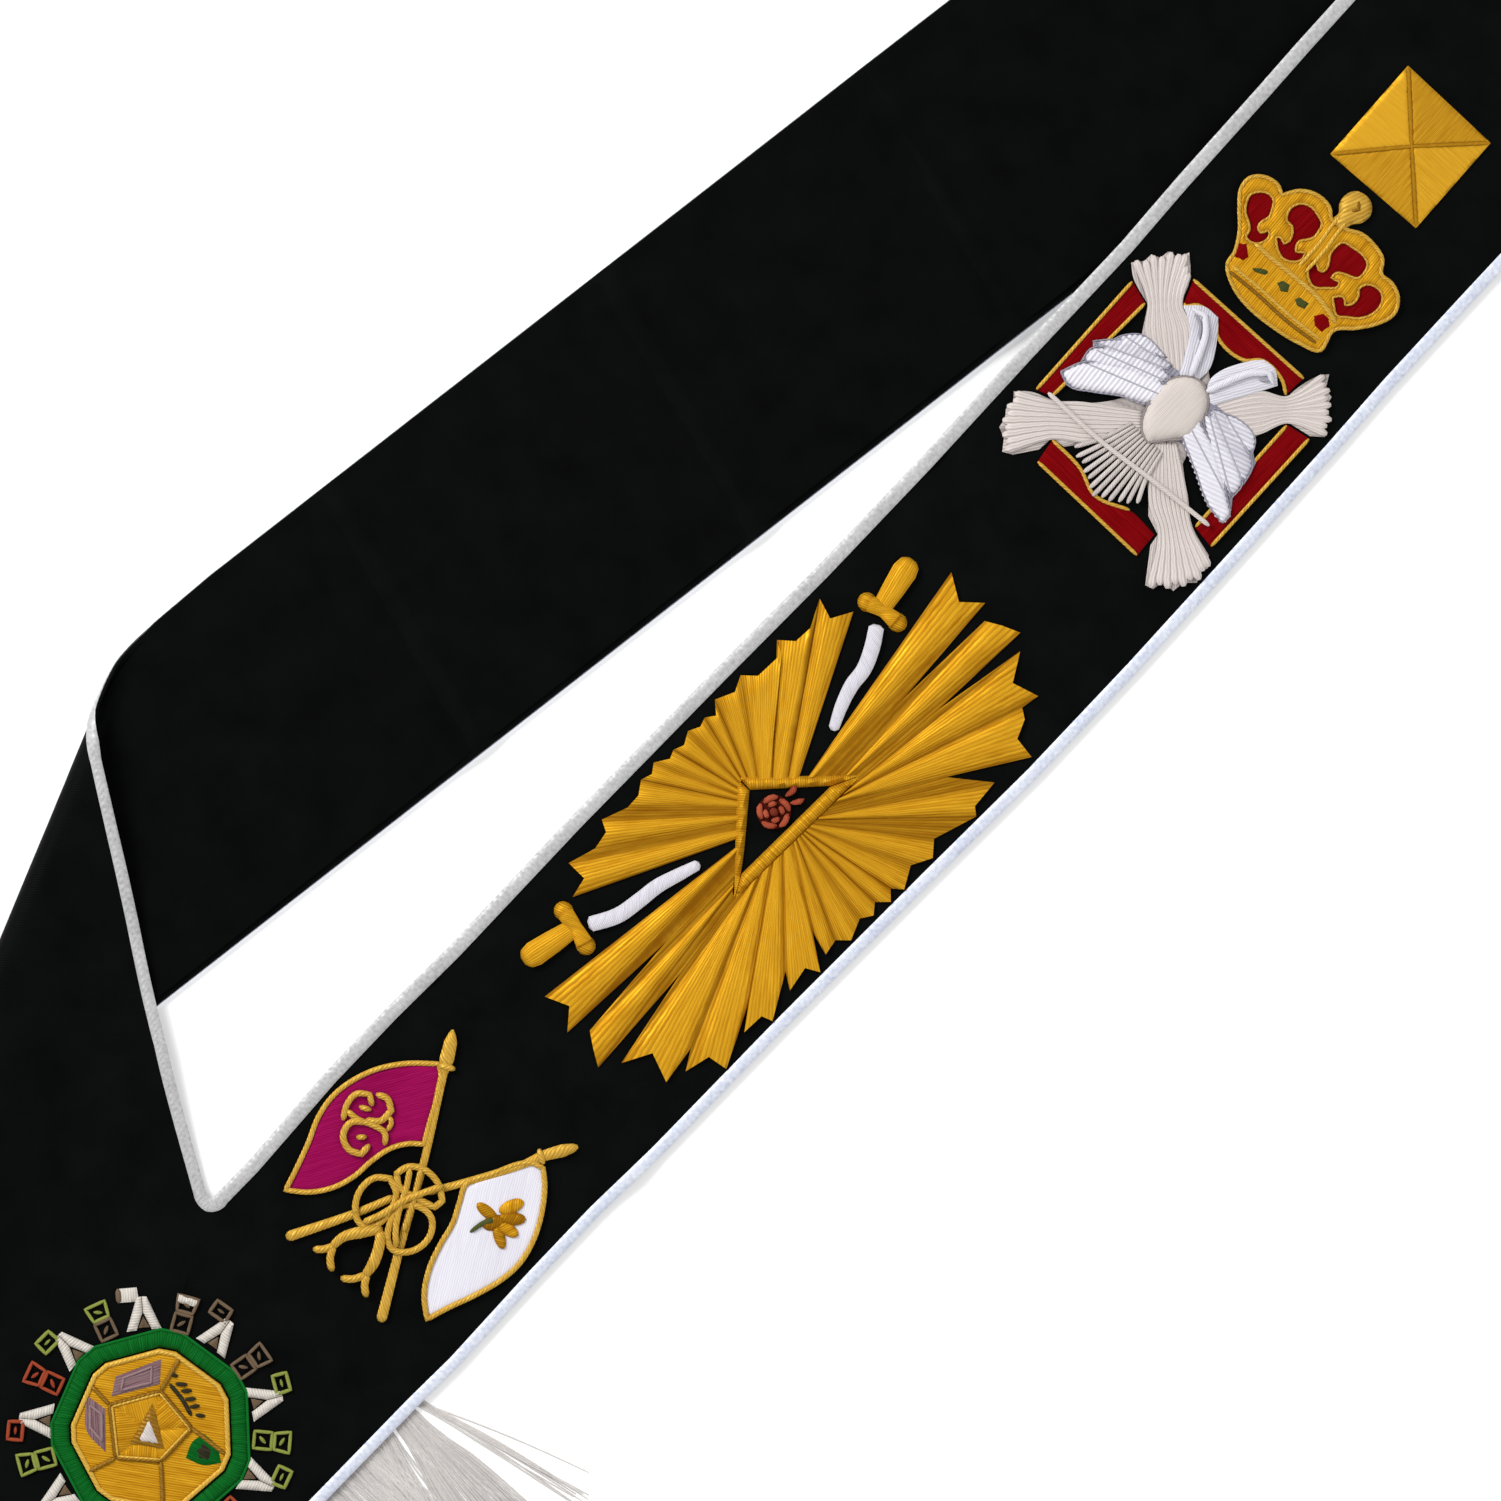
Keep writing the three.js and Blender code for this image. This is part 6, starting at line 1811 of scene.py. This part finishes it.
KNOT = (
    (((37.4, 33.6), (33.8, 39.4), (34.2, 46), (38.2, 49.7), (43.3, 47.4), (46.2, 40.4),
      (45.4, 34.4), (41.3, 31.7)), 2.4, 0.2, True),
    (((38.6, 52.5), (39.8, 56.8), (44.6, 60), (51.2, 59.8), (56.2, 56.6), (55.8, 53.2),
      (49.1, 51.2), (42.4, 49.9)), 2.4, 0.5, True),
    (((51.7, 34.6), (48.4, 39.8), (47.5, 45.6), (51.7, 49.6), (57.2, 50), (61.2, 45.8),
      (61.6, 39.6), (58.5, 34.5), (55, 33)), 2.4, 0.4, True),
    (((40.6, 57), (44.2, 51.6), (47.7, 44.5), (52, 38.2), (56, 34.4)), 2.2, 1.1, False),
    (((43.4, 59.4), (46.9, 53.7), (50.6, 47.1), (54, 40)), 2.0, 1.0, False),
    (((52.8, 60.6), (49.6, 54.1), (46.8, 48), (44.5, 38.9), (42, 32.6)), 2.4, 1.6, False),
    (((48.4, 35.6), (43.6, 29.5), (40.6, 24.3), (40.2, 18.8)), (3.2, 4.4, 3.6, 2.8), 0.3,
     False),
    (((48, 35), (51.4, 30.9), (54.2, 25), (55.1, 19.4)), (3.2, 4.0, 4.2, 2.8), 0.4, False),
    (((40.6, 20.6), (39, 17.2), (36.2, 14.2)), 2.7, 0.6, False),
    (((40.2, 20.2), (42.6, 16), (46.1, 13.4)), 2.7, 0.5, False),
    (((55.2, 21), (53, 16.6), (49.7, 13.7)), 2.7, 0.5, False),
    (((55.2, 21.2), (57.2, 17.8), (60.5, 15.2)), 2.7, 0.6, False),
)
knot = Bundle()
for line, width, above, closed in KNOT:
    cord(knot, line, width, KNOT_LOW + above, gold_cord, closed=closed, tone=0.5)
knot.sew("cord_knot_tied", "gold_thread", "cord_knot")

# %% [markdown]
# ## The camp
# On the point stands a round camp: a green ring, a faceted gold plate with panels
# and a small triangle, and nine white tents with nine banners between them.

# %% Ring, plate and triangle


def polar(r, degrees):
    turn = np.radians(degrees)
    return np.stack([CAMP[0] + r * np.cos(turn), CAMP[1] + r * np.sin(turn)], axis=-1)


SEVEN = 72.2 + np.arange(7) * 360 / 7
corner_bends = np.sort(np.concatenate([SEVEN - 6, SEVEN + 6]))
ring = Bundle(point_place)
satin(ring, polar(34.0, corner_bends), SIT, SIT + 1.5, green, tone=0.5,
      turn=threads_from(CAMP, 31), holes=[polar(28.4, corner_bends)], soft=2.2, step=1.2, sharp=20)
cord(ring, polar(34.4, corner_bends), 1.0, SIT, green, closed=True, tone=0.9, sharp=20)
ring.sew("camp_ring_satin", "green", "camp_ring")
FACETS = np.array(((23.5, -71.9), (32.6, -56.4), (49.1, -58.1), (49.3, -73.5), (37.5, -83.4)))
RIDGE_ENDS = ((14.2, -71.5), (29.4, -43.6), (63.5, -56.5), (60.5, -84), (34, -93.5))
plum = thread_finish("plum_thread", (0.05, 0.015, 0.02), (0.17, 0.085, 0.10),
                     (0.36, 0.24, 0.25), pitch=0.9, gloss=0.15)
ink = thread_finish("ink_thread", (0.006, 0.006, 0.004), (0.020, 0.017, 0.010),
                    (0.06, 0.055, 0.03), pitch=0.7, gloss=0.1)
plate = Bundle(point_place)
satin(plate, polar(27.8, corner_bends), SIT, SIT + 0.9, gold, turn=35, tone=0.5, soft=3,
      sharp=20)
cord(plate, polar(26.9, corner_bends), 1.7, SIT + 0.35, gold_cord, closed=True, tone=0.85,
     sharp=20)
CAMP_MIDDLE = np.array(CAMP)
for number in range(5):
    a, b = FACETS[number], FACETS[(number + 1) % 5]
    away = b - a
    # Painted light and shade: each facet gets its own tone, the darkened cords along its edge and
    # out to the rim paint shade in the grooves, and a lightened cord inside paints a highlight.
    satin(plate, drawn_in((a, b, CAMP_MIDDLE), 0.93), SIT + 0.6, SIT + 1.35, gold,
          turn=math.degrees(math.atan2(away[1], away[0])) + 90,
          tone=(0.62, 0.45, 0.7, 0.5, 0.4)[number], soft=1.6)
    cord(plate, (a, b), 1.5, SIT + 0.8, gold_cord, tone=0.0)
    cord(plate, (a, RIDGE_ENDS[number]), 1.5, SIT + 0.7, gold_cord, tone=0.05)
    cord(plate, (a * 0.94 + CAMP_MIDDLE * 0.06, b * 0.94 + CAMP_MIDDLE * 0.06), 0.9,
         SIT + 1.2, gold_cord, tone=0.8)
PANELS = (
    (((18.3, -63.6), (25.2, -48.6), (30.8, -55), (22, -69.4)), plum, 62),
    (((15.6, -75), (23.4, -74), (33.8, -84.4), (24, -83.6)), plum, 135),
    (((52.4, -61), (53.6, -56.6), (59.2, -56.6), (64.4, -59.6), (60.6, -64.4), (54.6, -66.8)),
     green, 20),
    (((54.4, -58.2), (59.4, -58), (61.8, -61.4), (58.6, -64.4), (55.2, -63.2)), ink, 20),
)
STROKES = (
    ((30.9, -50), (33.4, -48.8)), ((34.6, -51.2), (37.6, -48.6)), ((37.6, -51.6), (40.2, -49)),
    ((40.6, -52.6), (43, -50)), ((43.6, -53.4), (45.6, -50.8)), ((46.8, -54), (49.4, -52)),
    ((33.2, -52.6), (40, -53.4), (46, -55.2)),
)
for corners, look, turn in PANELS:
    top = SIT + (2.0 if look is ink else 1.6)
    satin(plate, corners, SIT + 0.7, top, look, turn=turn, tone=0.45, soft=1.2)
    if look is plum:
        cord(plate, drawn_in(corners, 0.62), 0.9, SIT + 1.4, plum, closed=True, tone=0.95,
             sharp=30)
for line in STROKES:
    cord(plate, line, 1.5, SIT + 0.8, ink, tone=0.4)
plate.sew("camp_plate_stitched", "gold_thread", "camp_plate")
eye = Bundle(point_place)
CENTRE_MARK = ((33.6, -61.4), (37.6, -76.4), (47.2, -69.6))
MARK_CORE = ((36.2, -65.6), (38.9, -74.0), (44.9, -69.6))
satin(eye, CENTRE_MARK, SIT + 1.2, SIT + 2.0, gold_cord, turn=30, tone=0.15, soft=1, sharp=20)
satin(eye, MARK_CORE, SIT + 1.5, SIT + 2.5, silver, turn=0, tone=0.75, soft=1.4, step=1.0,
      sharp=20)
eye.sew("camp_triangle_satin", "silver_thread", "camp_triangle")

# %% Tents and banners
TENTS = 9
FIRST_TENT = 99.0


def beside_ring(points, degrees):
    """Turns (reach, sideways) into a place beside the ring."""
    c, s = math.cos(math.radians(degrees)), math.sin(math.radians(degrees))
    return [(CAMP[0] + r * c - t * s, CAMP[1] + r * s + t * c) for r, t in points]


brown = thread_finish("brown_thread", (0.03, 0.018, 0.010), (0.11, 0.07, 0.04),
                      (0.20, 0.14, 0.09), pitch=0.7)
olive = thread_finish("olive_thread", (0.05, 0.06, 0.010), (0.17, 0.22, 0.035),
                      (0.32, 0.36, 0.08), pitch=0.7)
red = thread_finish("red_thread", (0.07, 0.008, 0.004), (0.26, 0.035, 0.016),
                    (0.40, 0.08, 0.035), pitch=0.7)
tent_white = thread_finish("tent_thread", (0.24, 0.20, 0.17), (0.60, 0.55, 0.49),
                           (0.80, 0.75, 0.68), relief=0.5, pitch=0.9)
BANNERS = (brown, brown, olive, red, olive, brown, olive, red, olive)
PENNANTS = (brown, white, olive, red, olive, brown, red, olive, olive)
LEGS = (((34, -6.0), (34.2, -2.6), (40.2, -0.1), (45.6, -0.1), (45.4, -1.7)),
        ((34, 6.0), (34.2, 2.6), (40.2, 0.1), (45.6, 0.1), (45.4, 1.7)))
DOOR = ((35, -1.9), (35, 1.9), (38.8, 0))
PENNANT = ((44, 1), (44, 7.4), (48.8, 7.4), (48.8, 1.4))
UPPER_BOX = ((41.6, -2.7), (41.6, 2.7), (46.8, 3.6), (46.8, -3.6))
LOWER_BOX = ((34.6, -2.9), (34.6, 2.9), (40.6, 2.9), (40.6, -2.9))
for number in range(TENTS):
    degrees = FIRST_TENT + number * 360 / TENTS
    tent = Bundle(point_place)
    for leg in LEGS:
        satin(tent, beside_ring(leg, degrees), SIT, SIT + 1.2, tent_white, turn=degrees + 90,
              tone=0.6, soft=1.2, step=1.0, sharp=20)
    satin(tent, beside_ring(DOOR, degrees), SIT, SIT + 0.7, brown, turn=degrees, tone=0.5,
          soft=1, step=0.9, sharp=20)
    flag = beside_ring(PENNANT, degrees)
    look = PENNANTS[number]
    if look is white:
        satin(tent, flag, SIT, SIT + 0.9, tent_white, turn=degrees, tone=0.7, soft=1.2, sharp=20)
        cord(tent, beside_ring(((44, 7.8), (48.8, 7.8)), degrees), 1.8, SIT, brown, tone=0.9)
    else:
        cord(tent, flag, 1.3, SIT, look, closed=True, tone=0.7, sharp=20)
        cord(tent, beside_ring(((46.4, 3), (46.4, 5.6)), degrees), 1.0, SIT, look, tone=0.4)
    tent.sew(f"camp_tent_{number + 1}_stitched", "silver_thread", f"camp_tent_{number + 1}")
    degrees -= 180 / TENTS
    look = BANNERS[number]
    second = brown if number == 2 else look
    banner = Bundle(point_place)
    cord(banner, beside_ring(UPPER_BOX, degrees), 1.2, SIT, look, closed=True, tone=0.75,
         sharp=20)
    cord(banner, beside_ring(LOWER_BOX, degrees), 1.2, SIT, second, closed=True, tone=0.6,
         sharp=20)
    cord(banner, beside_ring(((43.4, -1.2), (44.8, 1.4)), degrees), 1.3, SIT, look, tone=0.4)
    cord(banner, beside_ring(((36.4, 1.2), (38.6, -1)), degrees), 1.3, SIT, second, tone=0.4)
    if number == 1:
        satin(banner, beside_ring(((44.2, -3.6), (44.2, 3.6), (47.2, 3.9), (47.2, -3.9)),
                                  degrees), SIT + 0.3, SIT + 1.4, tent_white, turn=degrees,
              tone=0.6, soft=1, sharp=20)
    banner.sew(f"camp_banner_{number + 1}_stitched", "banner", f"camp_banner_{number + 1}")
